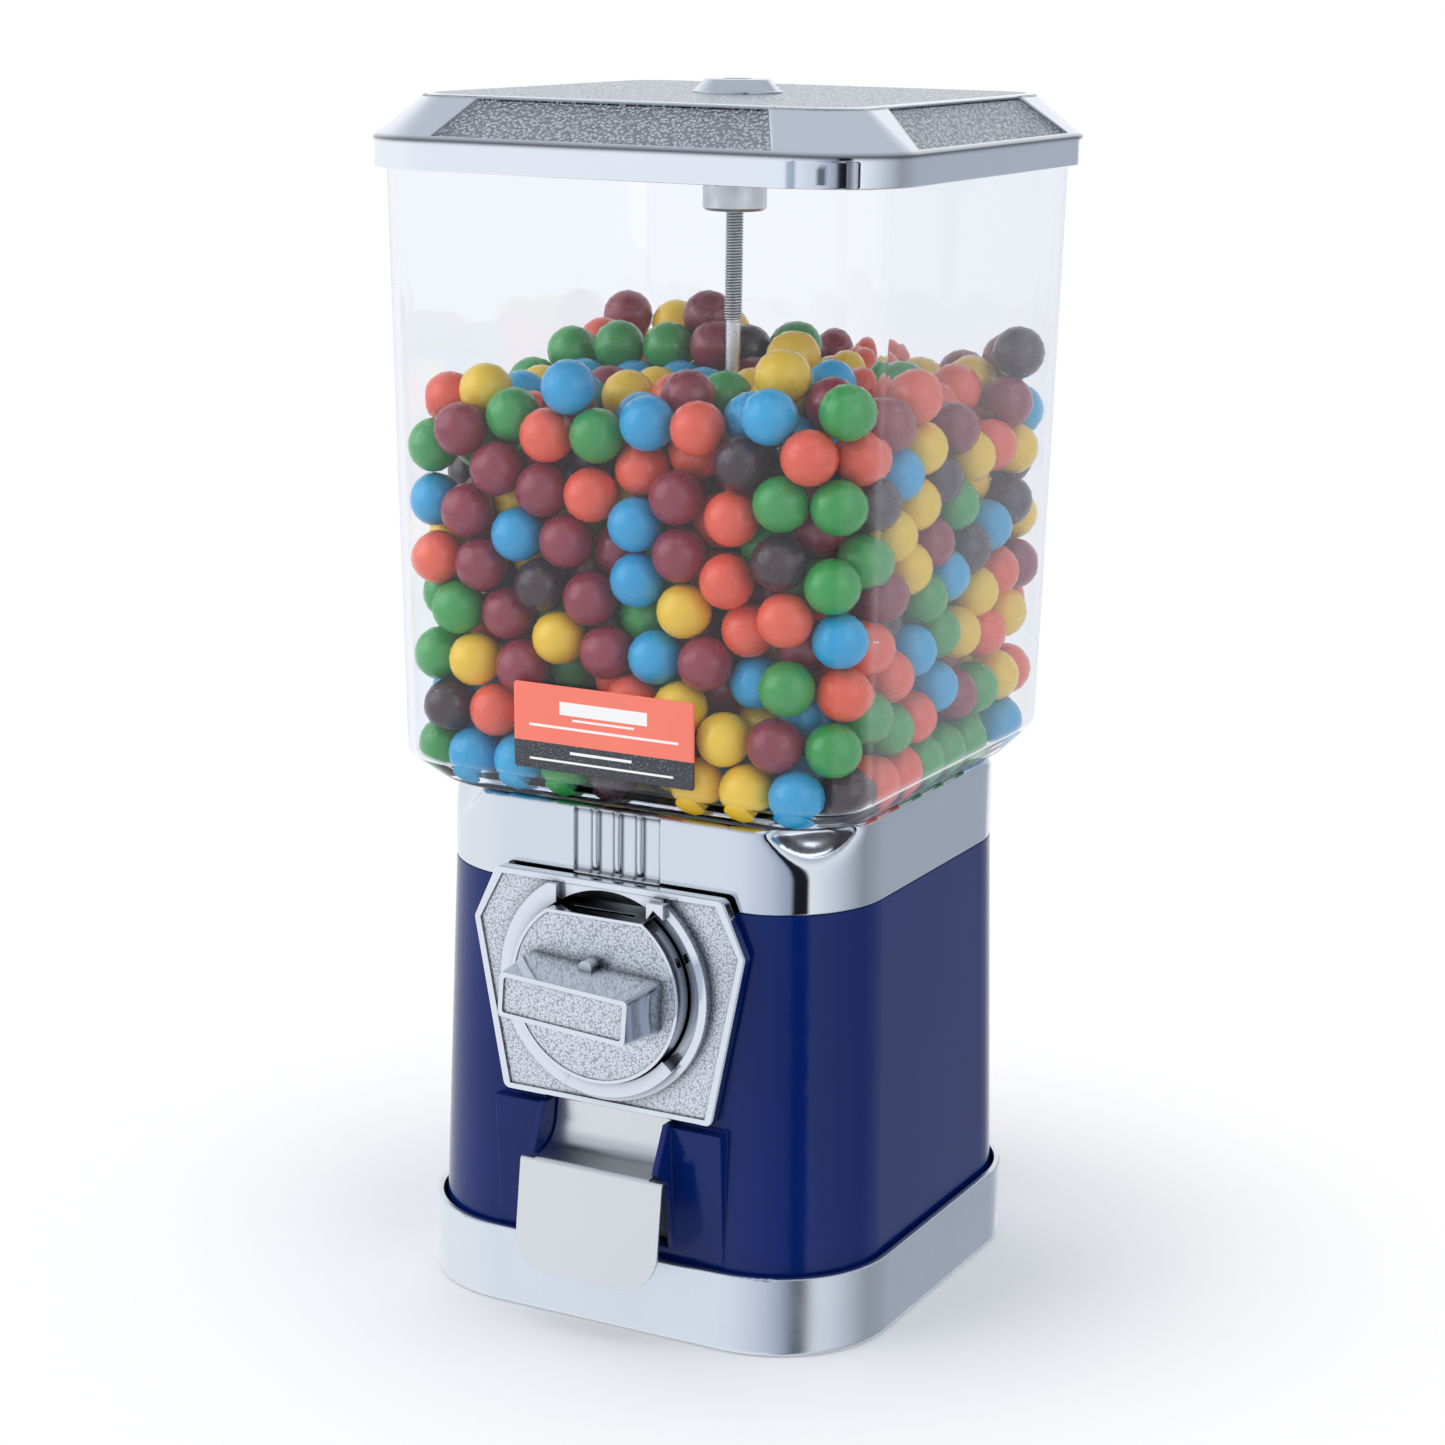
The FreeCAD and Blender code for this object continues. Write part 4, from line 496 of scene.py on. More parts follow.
# %% Hopper
low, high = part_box("hopper")
WALL = 2.5 * MM
rim, half_top = high.z, high.x
seat, shoulder, neck_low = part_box("collar")[1].z, 197 * MM, low.z
half_low, corner_low, corner_top = 89.6 * MM, 21.6 * MM, 22.5 * MM
neck = 67.3 * MM
profile = [
    (neck + 2 * MM, neck + 2 * MM, neck_low), (neck + 2 * MM, neck + 2 * MM, seat), (81 * MM, 27 * MM, seat),
    (half_low, corner_low, shoulder), (half_top, corner_top, rim),
    (half_top - WALL, corner_top - WALL, rim), (half_low - WALL, corner_low - WALL, shoulder),
    (81 * MM - WALL, 27 * MM - WALL, seat + WALL), (neck, neck, seat + WALL), (neck, neck, neck_low)]
reach = np.array([0.4, 0.6, 2.0, 2.4, 0.7, 0.7, 2.0, 2.0, 0.6, 0.4]) * MM
side = np.linspace(-1, 1, 15)
hopper_grid = shell_points(soften_profile(profile, reach), outline(side, 14))
hopper = show("hopper_shell", grid_mesh("hopper_shell", hopper_grid), "clear_plastic", "root", ["hopper"])
print("hopper:", len(hopper.data.polygons), "faces")

# %% [markdown]
# ## Lid
# The lid is one plated moulding: a plain skirt, four slopes with a sunk sparkle-grained panel each,
# plain rounded hips between them and a grained top. Cutting panels into a solid gives hard edges, so
# the lid is one fine grid whose lines run along the panel edges, and the panels are let down by a
# smooth step along the slope's own normal.

# %% Lid
def smooth_step(value, low, high):
    """0 below low, 1 above high, 3t^2 - 2t^3 between."""
    t = np.clip((value - low) / (high - low), 0, 1)
    return t * t * (3 - 2 * t)


lid_low, lid_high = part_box("lid_shell")
LID_HALF, LID_CORNER, PLATE_HALF, PLATE_CORNER = lid_high.x, 33 * MM, 82 * MM, 15 * MM
LID_SHOULDER, HOLE = 410.8 * MM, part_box("rod_socket")[1].x + 0.2 * MM
PANEL_FROM, PANEL_TO, PANEL_SINK, PANEL_EDGE = 0.12, 0.95, 0.9 * MM, 0.8
top_z, foot_z = lid_high.z, lid_low.z
slope = np.array([PLATE_HALF - LID_HALF, PLATE_CORNER - LID_CORNER, top_z - LID_SHOULDER])
shoulder_row = np.array([LID_HALF, LID_CORNER, LID_SHOULDER])
slope_normal = np.array([slope[2], -slope[0]]) / np.hypot(slope[0], slope[2])
INNER_TOP = top_z - 3.2 * MM
LID_WALL = 2.2 * MM
profile = [(LID_HALF - LID_WALL, LID_CORNER, foot_z), (LID_HALF, LID_CORNER, foot_z)]
profile += [(LID_HALF, LID_CORNER, foot_z + up_by) for up_by in (1.7 * MM, 5 * MM, 8.6 * MM)]
profile += [tuple(shoulder_row)] + [tuple(shoulder_row + slope * t) for t in (PANEL_FROM, 0.4, 0.7, PANEL_TO)]
REST_HALF, REST_CORNER = 91.5 * MM, 22.5 * MM
profile += [(PLATE_HALF, PLATE_CORNER, top_z), (PLATE_HALF - LID_WALL, PLATE_CORNER, top_z),
            (45 * MM, 20 * MM, top_z), (HOLE, HOLE, top_z), (HOLE, HOLE, INNER_TOP),
            (78 * MM, PLATE_CORNER, INNER_TOP), (REST_HALF, REST_CORNER, rim + 1.2 * MM),
            (REST_HALF, REST_CORNER, rim), (LID_HALF - LID_WALL, LID_CORNER, rim)]
reach = np.array([0.5, 0.8, 0.4, 0.9, 0.45, 0.5, 0.45, 1.5, 1.5, 0.45,
                  1.3, 0.4, 4, 0.4, 0.4, 1, 0.3, 0.3, 0.3]) * MM
rows = soften_profile(profile, reach)
edge = 0.45 * MM / (LID_HALF - LID_CORNER)
border = np.linspace(PANEL_EDGE - edge, PANEL_EDGE + edge, 5)
side = np.concatenate([[-0.95, -0.9, -0.85], -border[::-1], np.linspace(-0.75, 0.75, 13),
                       border, [0.85, 0.9, 0.95]])
columns = outline(side, 36)
climb = (rows[:, None, 2] - LID_SHOULDER) / slope[2]
panel_half = np.interp(climb, [PANEL_FROM, PANEL_TO], [63 / 67, 54 / 67])


def to_panel(sign):
    """Slides side places so that the panel's edge column lies on the panel's own leaning edge."""
    inside = sign * panel_half / PANEL_EDGE
    outside = np.sign(sign) * (panel_half + (1 - panel_half) * (np.abs(sign) - PANEL_EDGE) / (1 - PANEL_EDGE))
    return np.where(np.abs(sign) < PANEL_EDGE, inside, outside)


lid_grid = shell_points(rows, columns, to_panel)
on_outside = (np.arange(len(rows)) < np.argmax(rows[:, 0] <= HOLE * 1.01))[:, None]
along = np.minimum(np.abs(columns[:, 0]), np.abs(columns[:, 1]))[None]
edge_v = 0.45 * MM / np.linalg.norm(slope[[0, 2]])
sunk = (smooth_step(climb, PANEL_FROM - edge_v, PANEL_FROM + edge_v)
        * (1 - smooth_step(climb, PANEL_TO - edge_v, PANEL_TO + edge_v))
        * (1 - smooth_step(along, PANEL_EDGE - edge, PANEL_EDGE + edge)) * on_outside)
out_x, out_y = np.cos(columns[:, 2])[None], np.sin(columns[:, 2])[None]
lid_grid -= PANEL_SINK * sunk[..., None] * np.stack(
    [slope_normal[0] * out_x, slope_normal[0] * out_y, np.full_like(out_x, slope_normal[1])], -1)
# nicks: a shallow recess in each rounded corner, 21 degrees round from its diagonal
NICK, NICK_TURN, NICK_WIDE = 1.5 * MM, math.radians(21), math.radians(18)
sign_x, sign_y = np.sign(lid_grid[..., 0]), np.sign(lid_grid[..., 1])
from_x = lid_grid[..., 0] - sign_x * (LID_HALF - LID_CORNER)
from_y = lid_grid[..., 1] - sign_y * (LID_HALF - LID_CORNER)
from_nick = np.arctan2(from_y, from_x) - np.arctan2(sign_y, sign_x) + NICK_TURN
from_nick = np.arctan2(np.sin(from_nick), np.cos(from_nick))
rounded = (sign_x * from_x > 0) & (sign_y * from_y > 0) & on_outside
z = lid_grid[..., 2]
recess = ((1 - smooth_step(np.abs(from_nick), NICK_WIDE - 0.02, NICK_WIDE + 0.02))
          * (1 - smooth_step(z, LID_SHOULDER - 1.6 * MM, LID_SHOULDER - 1.1 * MM)) * rounded)
reach = np.hypot(from_x, from_y) + 1e-9
lid_grid[..., 0] -= recess * NICK * from_x / reach
lid_grid[..., 1] -= recess * NICK * from_y / reach
# painted shade on each nick's inner wall, and a stripe of painted shade down the nick's middle
nick_wall_shade = np.exp(-((from_nick - NICK_WIDE + 0.04) / 0.045) ** 2) * (z < LID_SHOULDER - 1.2 * MM)
nick_slot_shade = (np.abs(from_nick + 0.01) < 0.045) * (z < LID_SHOULDER - 2.6 * MM) * (z > foot_z + 1.5 * MM)
nick_shade = np.clip(nick_wall_shade + nick_slot_shade, 0, 1) * rounded
on_plate = on_outside * (rows[:, None, 2] > top_z - 0.1 * MM)
plate_grain = smooth_step(PLATE_HALF - rows[:, None, 0], 1.6 * MM, 2.4 * MM) * on_plate
grain = np.maximum(sunk, plate_grain * np.ones_like(sunk))
# painted shade along the panels' sunk steps, then a line of painted shade along the shoulder
painted_edge_shade = np.clip(4 * sunk * (1 - sunk), 0, 1)
seam_shade = np.exp(-((z - LID_SHOULDER) / (0.8 * MM)) ** 2) * on_outside
painted_edge_shade = np.maximum(np.maximum(painted_edge_shade, nick_shade), seam_shade)


def sparkle_plating():
    """Plating that is bright on plain places and sharply grained where the grain attribute is 1: a
    fine bump throws the light about, and the low places are painted darker as shade. Where the edge
    attribute is 1 the colour is painted dark as shade: at the foot of a small step, on the nick
    walls and along the shoulder."""
    made, tree, shader = new_finish("lid_chrome_grained", (0.74, 0.77, 0.81), 1.0, 0.1)
    mask = add_node(tree, "Attribute", attribute_name="grain").outputs["Fac"]
    step = add_node(tree, "Attribute", attribute_name="edge").outputs["Fac"]
    spot = here(tree)
    chips = add_node(tree, "TexVoronoi", (("Vector", spot), ("Scale", 800.0)),
                     feature="F1").outputs["Distance"]
    chips = calc(tree, "ADD", chips, calc(tree, "MULTIPLY", noise(tree, 1000, 4, 0.72), 0.9))
    # painted shade: the grain's low places, and the edge attribute's steps, nicks and shoulder line
    dark = calc(tree, "MULTIPLY", span(tree, chips, 0.72, 1.02), mask)
    dark = calc(tree, "MAXIMUM", calc(tree, "MULTIPLY", dark, 0.62), calc(tree, "MULTIPLY", step, 0.88))
    tint(tree, shader, dark, (0.84, 0.87, 0.91), (0.12, 0.125, 0.14))
    tree.links.new(calc(tree, "MULTIPLY_ADD", mask, 0.17, 0.1), shader.inputs["Roughness"])
    waves = relief(tree, shader, noise(tree, 30, 1), 0.0001, 0.15)
    relief(tree, shader, calc(tree, "MULTIPLY", chips, mask), 0.0007, 0.85, waves)
    return made


finishes["lid_grained"] = sparkle_plating()
lid_mesh = grid_mesh("lid_shell_fine", lid_grid)
set_field(lid_mesh, "grain", grain)
# all the lid's painted shade goes in the edge attribute
set_field(lid_mesh, "edge", painted_edge_shade)
lid = show("lid_shell_fine", lid_mesh, "lid_grained", "lid", ["lid_shell"])
print("lid:", len(lid.data.polygons), "faces")

# %% [markdown]
# ## Collar
# The collar carries the hopper. Its wall is the body's own rounded square, its top edge is round, and
# at each corner a leaning plane takes the top away to clear the hopper's overhang: the wall meets that
# plane in a long S-curve. On the front a shallow window holds three half-round ribs.

# %% Collar
col_low, col_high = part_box("collar")
COL_HALF, COL_CORNER, COL_WALL, COL_TOP = col_high.x, 39.6 * MM, 2.5 * MM, col_high.z
COL_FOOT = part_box("body_shell")[1].z + 0.2 * MM
NECK_OPENING = 70 * MM
DIP_LOW, DIP_LEAN = 172.5 * MM, 4.9 / 14.2
WINDOW, RIB, PITCH, SINK = 16.7 * MM, 1.4 * MM, 8.7 * MM, 1.3 * MM
outside = [(COL_HALF, COL_CORNER, COL_FOOT + h * MM) for h in np.arange(1.4, 25.6, 0.7)]
inner_half_col, inner_corner = COL_HALF - COL_WALL, COL_CORNER - COL_WALL
profile = [(inner_half_col, inner_corner, COL_FOOT), (COL_HALF, COL_CORNER, COL_FOOT)] + outside
profile += [(COL_HALF, COL_CORNER, COL_TOP), (76 * MM, 45 * MM, COL_TOP), (NECK_OPENING, NECK_OPENING, COL_TOP),
            (NECK_OPENING, NECK_OPENING, COL_TOP - COL_WALL), (inner_half_col, inner_corner, COL_TOP - 3 * MM)]
foot_reach = np.array([0.3, 0.3, 0.35, 0.3]) * MM
ends = soften_profile([profile[-1]] + profile[:3], foot_reach, 3)[5:15]
lip = soften_profile(profile[-6:], np.array([0.2, 3.2, 1, 0.8, 0.4, 0.6]) * MM, 7)[9:-1]
inside_rows = [(inner_half_col, inner_corner, COL_FOOT + h * MM) for h in np.arange(25, 1, -1.0)]
rows = np.vstack([ends, outside, lip, inside_rows])
front = np.concatenate([np.linspace(-0.96, -0.46, 9), np.linspace(-0.42, 0.42, 145),
                        np.linspace(0.46, 0.96, 9)])
plain = np.linspace(-0.9, 0.9, 13)
columns = outline([plain, plain, front, plain], 26)
collar_grid = shell_points(rows, columns)
x, y, z = collar_grid[..., 0], collar_grid[..., 1], collar_grid[..., 2]
inner_row = (np.arange(len(rows)) >= len(ends) + len(outside) + len(lip) - 14)[:, None]
# room over the coin mechanism: the lower edge steps up behind the face plate
room = (1 - smooth_step(np.abs(x), 23 * MM, 25 * MM)) * (y < -70 * MM)
z += room * 4.8 * MM * (COL_TOP - z) / (COL_TOP - COL_FOOT) * (z < COL_TOP)
corner_reach = (COL_HALF - COL_CORNER) * math.sqrt(2) + COL_CORNER
plane = corner_reach - DIP_LEAN * (z - DIP_LOW) - np.where(inner_row, 3.1 * MM, 0)
diagonal = (np.abs(x) + np.abs(y)) / math.sqrt(2)
blend_by = 0.45 * MM
over = blend_by * np.logaddexp(0, (diagonal - plane) / blend_by) * (z > DIP_LOW - 3 * MM)
over *= 1 + 0.9 * smooth_step(over, 0, 2.5 * MM)
collar_grid[..., :2] -= over[..., None] / math.sqrt(2) * np.sign(collar_grid[..., :2])
x, y, z = collar_grid[..., 0], collar_grid[..., 1], collar_grid[..., 2]
window = ((1 - smooth_step(np.abs(x), WINDOW - 0.25 * MM, WINDOW + 0.25 * MM))
          * smooth_step(z, 163.1 * MM, 163.7 * MM) * (1 - smooth_step(z, 184.6 * MM, 185.6 * MM)) * (y < -75 * MM) * ~inner_row)
ribs = sum(np.sqrt(np.maximum(RIB ** 2 - (x - k * PITCH) ** 2, 0)) for k in (-1, 0, 1))
ribs *= smooth_step(z, 163.4 * MM, 165.2 * MM)
collar_grid[..., 1] += window * (SINK - ribs)
# shade gathers beside each rib, along the window's edges and above it
beside = sum(np.exp(-((np.abs(x - k * PITCH) - RIB - 0.3 * MM) / (0.55 * MM)) ** 2) for k in (-1, 0, 1))
side_shade = np.exp(-((np.abs(x) - WINDOW + 0.35 * MM) / (0.45 * MM)) ** 2)
sill_shade = np.exp(-((z - 163.4 * MM) / (0.9 * MM)) ** 2) + np.exp(-((z - 184.9 * MM) / (0.9 * MM)) ** 2)
in_window = (np.abs(x) < WINDOW + 0.3 * MM) & (z > 162.4 * MM) & (z < 186 * MM) & (y < -75 * MM) & ~inner_row
collar_mesh = grid_mesh("collar_fine", collar_grid)
shade = np.clip(beside * 0.85 + side_shade * 0.8 + sill_shade * 0.7, 0, 1)
# the collar's painted shade beside the ribs and along the window goes in its crevice shade attribute
set_field(collar_mesh, "crevice_shade", shade * in_window)
collar = show("collar_fine", collar_mesh, "collar_chrome", "root", ["collar"])
print("collar:", len(collar.data.polygons), "faces")

# %% [markdown]
# ## Rod
# A rolled M6 thread is a helix: the surface's radius depends on the height minus the turn round the
# rod. The plain shank below is thinner than the thread, as on every rolled rod.

# %% Rod
rod_low, rod_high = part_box("center_rod")
MAJOR, SHANK, PITCH_M6, THREAD_FROM = rod_high.x, 2.65 * MM, 1.0 * MM, 346 * MM


def rod_points(spokes=20, per_turn=8):
    """Rows up the rod, closer in the thread; radius = major - depth x (0.5 + 0.5 cos(turns)), with
    turns = 2 pi height / pitch - angle, so that the ridges climb once round for each pitch."""
    thread = np.arange(THREAD_FROM, rod_high.z - 0.8 * MM, PITCH_M6 / per_turn)
    low_end = np.array([rod_low.z, rod_low.z, rod_low.z + 0.3 * MM, 30 * MM, 30.5 * MM,
                        120 * MM, 250 * MM, THREAD_FROM - 0.5 * MM])
    high = np.concatenate([low_end, thread, [rod_high.z - 0.5 * MM, rod_high.z, rod_high.z]])
    plain = np.concatenate([[1e-5, MAJOR - 0.3 * MM, MAJOR, MAJOR, SHANK, SHANK, SHANK, SHANK],
                            np.full(len(thread), MAJOR), [MAJOR - 0.5 * MM, MAJOR - 1 * MM, 1e-5]])
    angle = np.linspace(0, 2 * math.pi, spokes, endpoint=False)
    turns = 2 * math.pi * high[:, None] / PITCH_M6 - angle[None]
    in_thread = ((high >= THREAD_FROM) & (high < rod_high.z - 0.7 * MM))[:, None]
    start = smooth_step(high[:, None], THREAD_FROM, THREAD_FROM + 2 * MM)
    ridge = (0.5 * np.cos(turns) - 0.1) * 0.55 * MM - 0.3 * MM
    radius = plain[:, None] - in_thread * (MAJOR - SHANK + ridge * start)
    # painted shade in the thread's grooves, strongest at the bottom of each groove
    groove_shade = in_thread * start * np.clip(0.5 + 0.75 * np.cos(turns), 0, 1)
    return np.stack([radius * np.cos(angle), radius * np.sin(angle), high[:, None] + 0 * angle], -1), groove_shade


rod_grid, groove_shade = rod_points()
rod_mesh = grid_mesh("center_rod_threaded", rod_grid, wrap_rows=False)
set_field(rod_mesh, "crevice_shade", groove_shade)
rod = show("center_rod_threaded", rod_mesh, "zinc_steel", "root", ["center_rod"])
print("rod:", len(rod.data.polygons), "faces")

# %% [markdown]
# ## Label
# The maker's sticker becomes a plain one: coral above, speckled charcoal below, with ruled lines
# where the print would be. It lies on the leaning wall as a thin sheet with rounded corners.

# %% Label
lab_low, lab_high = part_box("label_plate")


def sticker():
    """Coral over charcoal by height; the charcoal carries fine speckles, and both have pale ruled
    lines at set heights and widths."""
    made, tree, shader = new_finish("sticker", (0.9, 0.24, 0.17), 0.0, 0.38)
    spot = add_node(tree, "SeparateXYZ", ((0, here(tree)),))
    across, high = spot.outputs[0], spot.outputs[2]
    SPLIT = lab_low.z + (lab_high.z - lab_low.z) * 0.32
    upper = span(tree, high, SPLIT - 0.00008, SPLIT + 0.00008)
    speckle = span(tree, noise(tree, 1600, 2, 0.8), 0.56, 0.72)
    dark = blend(tree, speckle, (0.035, 0.037, 0.045), (0.3, 0.31, 0.34))
    fade = blend(tree, noise(tree, 60, 3), (0.95, 0.22, 0.15), (0.88, 0.19, 0.13))
    both = blend(tree, upper, dark, fade)
    # middle across, middle height, half width, half height of each ruled line, in millimetres
    RULES = ((0, 15.5, 29, 0.45), (-1, 7.0, 12, 0.5), (-1, 3.6, 28, 0.4), (0, 22.4, 17, 2.3), (0, 18.6, 12, 0.4))
    lines = None
    for middle_x, middle_z, half_x, half_z in RULES:
        dx = calc(tree, "ABSOLUTE", calc(tree, "SUBTRACT", across, (middle_x - 1) * MM))
        dz = calc(tree, "ABSOLUTE", calc(tree, "SUBTRACT", high, lab_low.z + middle_z * MM))
        near_x, near_z = calc(tree, "LESS_THAN", dx, half_x * MM), calc(tree, "LESS_THAN", dz, half_z * MM)
        line = calc(tree, "MULTIPLY", near_x, near_z)
        lines = line if lines is None else calc(tree, "MAXIMUM", lines, line)
    tree.links.new(blend(tree, lines, both, (0.9, 0.88, 0.85)), shader.inputs["Base Color"])
    relief(tree, shader, noise(tree, 240, 2), 0.00004, 0.4)
    return made


lean = math.atan2(half_top - half_low, rim - shoulder)
half_w, half_h = (lab_high.x - lab_low.x) / 2, (lab_high.z - lab_low.z) / 2 / math.cos(lean)
ring_columns = outline([0.0], 6)
angle = ring_columns[:, 2]
r_label = 1.2 * MM
u = (half_w - r_label) * ring_columns[:, 0] + r_label * np.cos(angle)
v = (half_h - r_label) * ring_columns[:, 1] + r_label * np.sin(angle)
scale = np.array([0.001, 0.97, 1.0, 1.0, 0.001])[:, None]
lift = np.array([0.28, 0.28, 0.24, 0.02, 0.0])[:, None] * MM
mid_z = (lab_low.z + lab_high.z) / 2
u, v = u * scale, v * scale
wall_y = -(half_low + math.tan(lean) * (mid_z + v - shoulder))
label_grid = np.stack([u - 1 * MM, wall_y - lift - 0.05 * MM, mid_z + v * math.cos(lean)], -1)
finishes["sticker"] = sticker()
label_mesh = grid_mesh("label_sheet", label_grid[::-1], wrap_rows=False)
label = show("label_sheet", label_mesh, "sticker", "root", ["label_plate"])
print("label:", [round(c / MM, 2) for c in (label_grid[..., 1].min(), label_grid[..., 1].max())], "mm in Y")

# %% [markdown]
# ## Gumballs
# A heap of balls has no pattern that could be drawn by hand. The balls start in a loose, shaken
# lattice and are let down in small steps; after each step every pair that overlaps is pushed apart
# and every ball that is through a wall is put back. This is position-based relaxation, and it ends
# in a real heap, resting on the floor, the walls and on each other.

# %% Gumballs: the heap
BALL = 19 * MM
R = BALL / 2
FOOT = seat + WALL
BOWL = 65 * MM
WHEEL_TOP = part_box("ball_wheel")[1].z
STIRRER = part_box("wheel_stirrer")[1]
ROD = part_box("center_rod")[1].x


def inner_half(z):
    """Inner half width of the hopper at a height: chamfer below the shoulder, draft above."""
    low_part = np.interp(z, [FOOT, shoulder], [81 * MM - WALL, half_low - WALL])
    return np.where(z < shoulder, low_part, np.interp(z, [shoulder, rim], [half_low - WALL, half_top - WALL]))


def hold_inside(p):
    """Puts balls back inside: flat walls, rounded corners, floor with the bowl in it, rod, stirrer."""
    half = inner_half(p[:, 2]) - R - 0.3 * MM
    corner = np.full_like(half, 19.5 * MM) - R
    for axis in (0, 1):
        p[:, axis] = np.clip(p[:, axis], -half, half)
    over = np.maximum(np.abs(p[:, :2]) - (half - corner)[:, None], 0)
    length = np.linalg.norm(over, axis=1)
    both = (over.min(1) > 0) & (length > corner)
    shrink = np.where(both, corner / np.maximum(length, 1e-9), 1)[:, None]
    in_corner = np.sign(p[:, :2]) * ((half - corner)[:, None] + over * shrink)
    p[:, :2] = np.where(both[:, None], in_corner, p[:, :2])
    around = np.linalg.norm(p[:, :2], axis=1)
    low_limit = np.where(around > BOWL, FOOT + R, WHEEL_TOP + R)
    ledge = (around <= BOWL) & (around > BOWL - R) & (p[:, 2] > FOOT - 2 * MM)
    edge_height = FOOT + np.sqrt(np.maximum(R ** 2 - (BOWL - around) ** 2, 0))
    low_limit = np.where(ledge, np.maximum(low_limit, edge_height), low_limit)
    p[:, 2] = np.maximum(p[:, 2], low_limit)
    sunk = (p[:, 2] < FOOT - 2 * MM) & (around > BOWL - R)
    p[:, :2] *= np.where(sunk, (BOWL - R) / np.maximum(around, 1e-9), 1)[:, None]
    around = np.linalg.norm(p[:, :2], axis=1)
    clear = np.where(p[:, 2] < STIRRER.z + R, STIRRER.x + R, ROD + R) + 0.2 * MM
    p[:, :2] *= np.where(around < clear, clear / np.maximum(around, 1e-9), 1)[:, None]
    return p


def part_pairs(p, a, b, share):
    """Moves each overlapping pair apart along the line between their centres, by share of the
    overlap each, and averages where one ball is in several pairs."""
    d = p[a] - p[b]
    length = np.linalg.norm(d, axis=1)
    push = np.maximum(BALL - length, 0) * share
    move = d / np.maximum(length, 1e-9)[:, None] * push[:, None]
    count = len(p)
    total = [np.bincount(a, move[:, k], count) - np.bincount(b, move[:, k], count) for k in range(3)]
    hits = np.bincount(a, push > 0, count) + np.bincount(b, push > 0, count)
    return hold_inside(p + np.stack(total, 1) / np.maximum(hits * 0.35, 1)[:, None])


def near_pairs(p):
    gap = p[:, None] - p[None]
    return np.argwhere(np.triu((gap ** 2).sum(-1) < (BALL * 1.3) ** 2, 1)).T


def heap_top(p):
    """Height of the heap's surface over a plan point: nearly level at the walls, with a mound left of
    the rod and a lower shoulder beside it."""
    x, y = p[:, 0] / MM, p[:, 1] / MM
    mound = 24 * np.exp(-((x + 14) ** 2 + (y - 10) ** 2) / 17 ** 2)
    shoulder = 12 * np.exp(-((x + 44) ** 2 + (y - 6) ** 2) / 20 ** 2)
    return (322 + 0.04 * y + mound + shoulder) * MM


def heap(count_high=0.452, steps=800, settle=500):
    """Balls settled under their own weight: each step lowers every ball a little, less and less as
    the heap comes to rest, then parts the overlapping pairs a few times. Balls above the heap's
    surface are then taken away, and the rest settle once more."""
    dice = np.random.default_rng(SEED)
    pitch = BALL * 1.04
    across = np.arange(-5, 6) * pitch
    levels = np.arange(FOOT + R, count_high, pitch * 0.92)
    x, y, z = np.meshgrid(across, across, levels, indexing="ij")
    shift = (np.arange(len(levels)) % 2) * pitch / 2
    p = np.stack([x + shift, y + shift, z], -1).reshape(-1, 3)
    p = p[np.abs(p[:, :2]).max(1) < inner_half(p[:, 2]) - R * 0.8]
    p = p[np.linalg.norm(p[:, :2], axis=1) > ROD + R * 0.8]
    p += dice.normal(0, 3.0 * MM, p.shape)
    for step in range(steps + settle):
        if step == steps:
            p = p[p[:, 2] < heap_top(p) + dice.normal(0, 5 * MM, len(p))]
        if step % 10 == 0:
            a, b = near_pairs(p)
        cool = max(0.0, 1 - step / steps)
        p[:, 2] -= (0.35 * cool ** 1.5 + 0.008) * MM
        if step < steps * 0.4:
            p += dice.normal(0, 0.45 * MM * cool, p.shape)
        for _ in range(3):
            p = part_pairs(p, a, b, 0.5)
    worst = np.maximum(BALL - np.linalg.norm(p[a] - p[b], axis=1), 0)
    print("heap:", len(p), "balls; overlap worst", round(worst.max() / MM, 2), "mm, mean",
          round(worst[worst > 0].mean() / MM, 3), "mm; top", round(p[:, 2].max() / MM, 1))
    return p


centres = heap()

# %% [markdown]
# Each ball is a cube blown up to a sphere, 4 by 4 faces a side: round enough at this size and light
# when it is repeated seven hundred times. Balls of one colour are one piece, and each ball carries a
# random tone so that no two are quite alike.

# %% Gumballs: the pieces
def ball_shape(steps=4):
    """Unit sphere from a cube: face places are spread by the tangent so that the faces come out even,
    then every point is brought to radius one."""
    t = np.tan(np.linspace(-math.pi / 4, math.pi / 4, steps + 1))
    u, v = np.meshgrid(t, t, indexing="ij")
    one = np.ones_like(u)
    faces_of = ((one, u, v), (-one, v, u), (v, one, u), (u, -one, v), (u, v, one), (v, u, -one))
    sides = [np.stack(s, -1) for s in faces_of]
    points = np.concatenate([s.reshape(-1, 3) for s in sides])
    points /= np.linalg.norm(points, axis=1)[:, None]
    i, j = np.meshgrid(np.arange(steps), np.arange(steps), indexing="ij")
    base = (i * (steps + 1) + j).reshape(-1)
    face = np.stack([base, base + steps + 1, base + steps + 2, base + 1], -1)
    faces = np.concatenate([face + k * (steps + 1) ** 2 for k in range(6)])
    keys = np.round(points * 1000).astype(int)
    _, first, back = np.unique(keys, axis=0, return_index=True, return_inverse=True)
    return points[first], back.reshape(-1)[faces]


def fill_mesh(name, points, faces):
    """A mesh from whole arrays of points and four-sided faces."""
    mesh = bpy.data.meshes.new(name)
    mesh.vertices.add(len(points))
    mesh.vertices.foreach_set("co", points.reshape(-1).astype(np.float32))
    mesh.loops.add(faces.size)
    mesh.loops.foreach_set("vertex_index", faces.reshape(-1).astype(np.int32))
    mesh.polygons.add(len(faces))
    mesh.polygons.foreach_set("loop_start", np.arange(0, faces.size, 4, dtype=np.int32))
    mesh.update(calc_edges=True)
    mesh.shade_smooth()
    return mesh


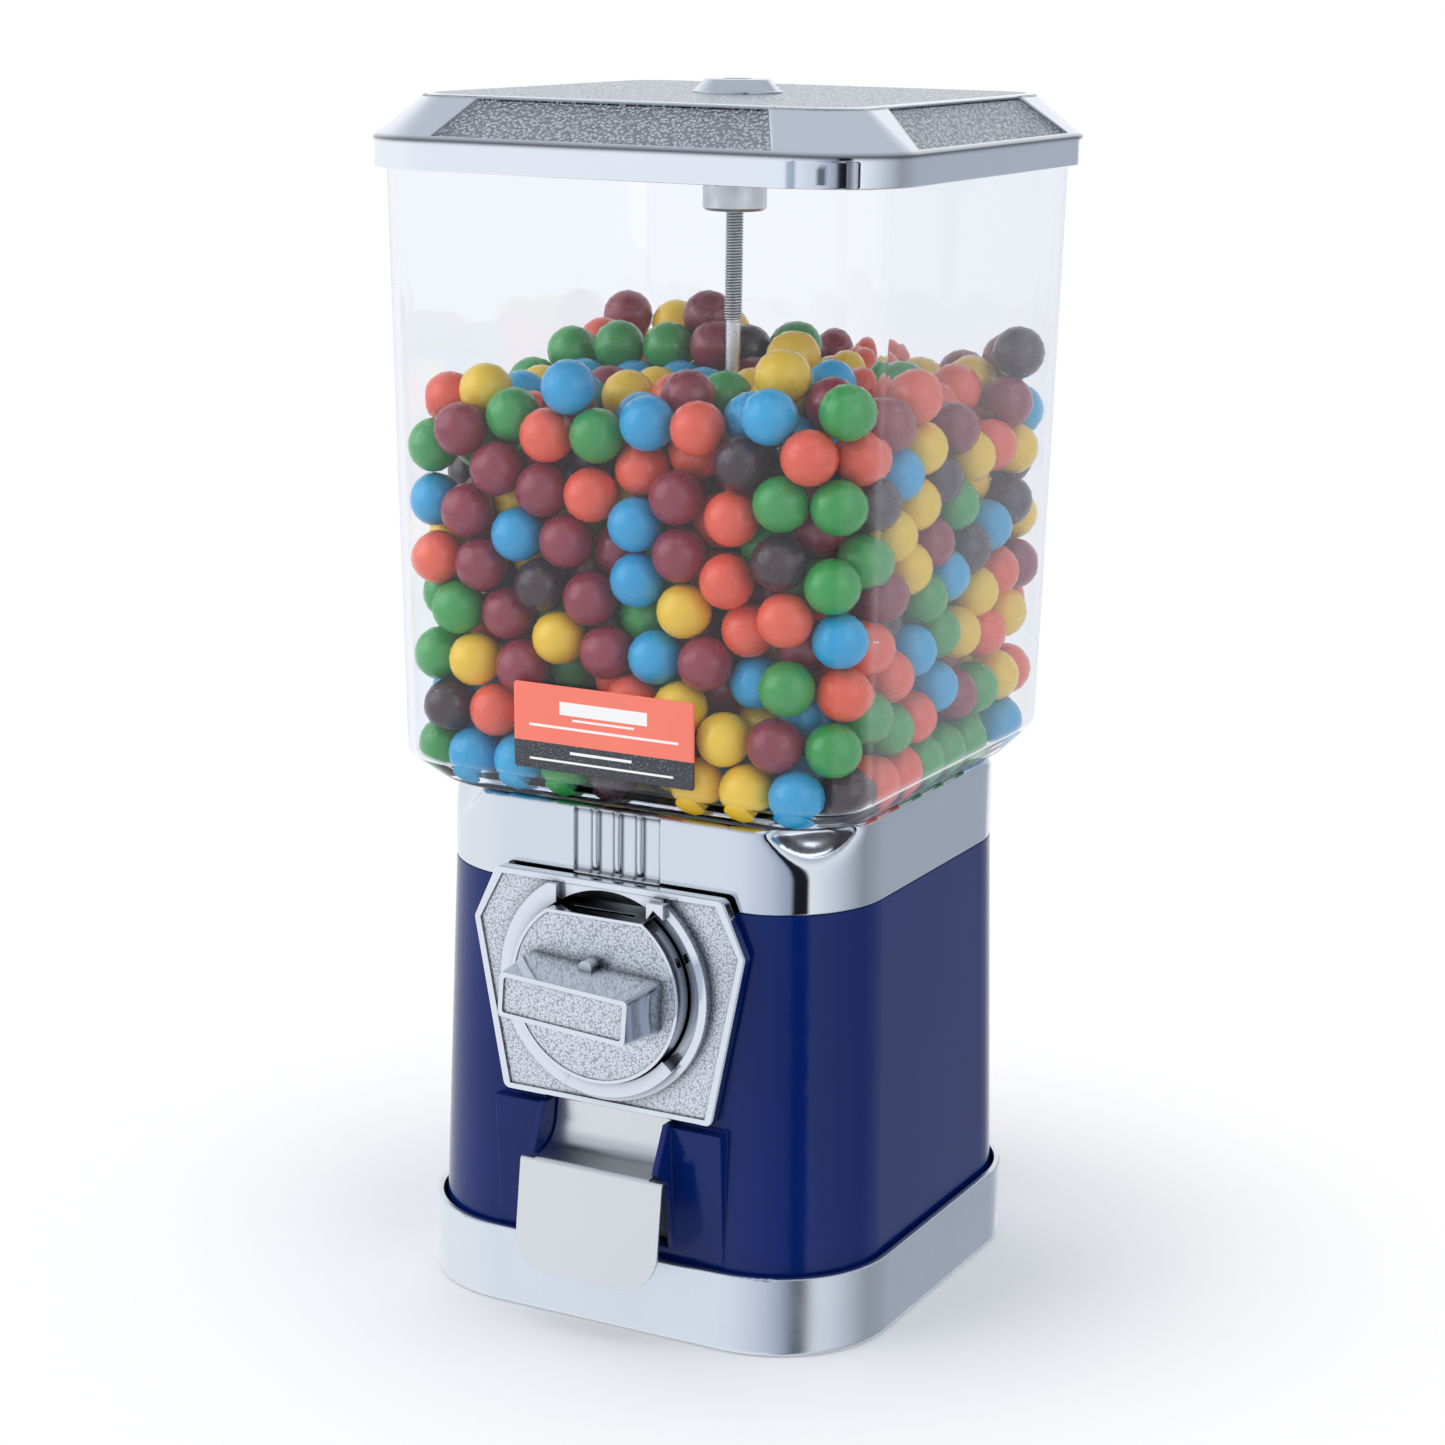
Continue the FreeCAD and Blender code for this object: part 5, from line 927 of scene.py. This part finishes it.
def gum_finish(name, colour, deep):
    """Sugar shell: satin gloss over a slightly uneven colour, a tone for each ball, faint dimples and
    here and there a white fleck."""
    made, tree, shader = new_finish(name, colour, 0.0, 0.3, coat_weight=0.25, coat_roughness=0.12,
                                    subsurface_weight=0.0)
    tone = add_node(tree, "Attribute", attribute_name="ball_tone").outputs["Fac"]
    cloud = noise(tree, 90, 3)
    depth_of_tone = calc(tree, "MULTIPLY_ADD", cloud, 0.5, calc(tree, "MULTIPLY", tone, 0.5))
    base = blend(tree, depth_of_tone, deep, colour)
    speck = add_node(tree, "TexVoronoi", (("Vector", here(tree)), ("Scale", 130.0))).outputs["Distance"]
    rare = span(tree, noise(tree, 60, 1), 0.62, 0.66)
    fleck = calc(tree, "MULTIPLY", span(tree, speck, 0.035, 0.06, 1.0, 0.0), rare)
    tree.links.new(blend(tree, fleck, base, (0.85, 0.85, 0.8)), shader.inputs["Base Color"])
    rough(tree, shader, noise(tree, 500, 3), 0.24, 0.38)
    relief(tree, shader, noise(tree, 260, 3, 0.6), 0.0002, 0.25)
    return made


GUM = {
    "sky_blue": ((0.012, 0.4, 0.68), (0.008, 0.3, 0.56)), "green": ((0.035, 0.36, 0.07), (0.02, 0.26, 0.045)),
    "yellow": ((0.95, 0.63, 0.03), (0.86, 0.5, 0.02)), "orange_red": ((0.9, 0.13, 0.06), (0.78, 0.08, 0.04)),
    "maroon": ((0.3, 0.02, 0.05), (0.2, 0.012, 0.03)), "plum": ((0.04, 0.012, 0.022), (0.022, 0.008, 0.014))}
SHARES = np.array([0.16, 0.2, 0.2, 0.2, 0.16, 0.08])
dice = np.random.default_rng(SEED + 1)
pick = dice.choice(len(GUM), len(centres), p=SHARES)
ball_points, ball_faces = ball_shape()
for k, (colour_name, (colour, deep)) in enumerate(GUM.items()):
    mine = centres[pick == k]
    points = (mine[:, None] + ball_points[None] * R).reshape(-1, 3)
    faces = (ball_faces[None] + (np.arange(len(mine)) * len(ball_points))[:, None, None]).reshape(-1, 4)
    name = "gumballs_" + colour_name
    mesh = fill_mesh(name, points, faces)
    set_field(mesh, "ball_tone", np.repeat(dice.random(len(mine)), len(ball_points)))
    show(name, mesh, gum_finish(name, colour, deep), "root")
    print(name, len(mine))
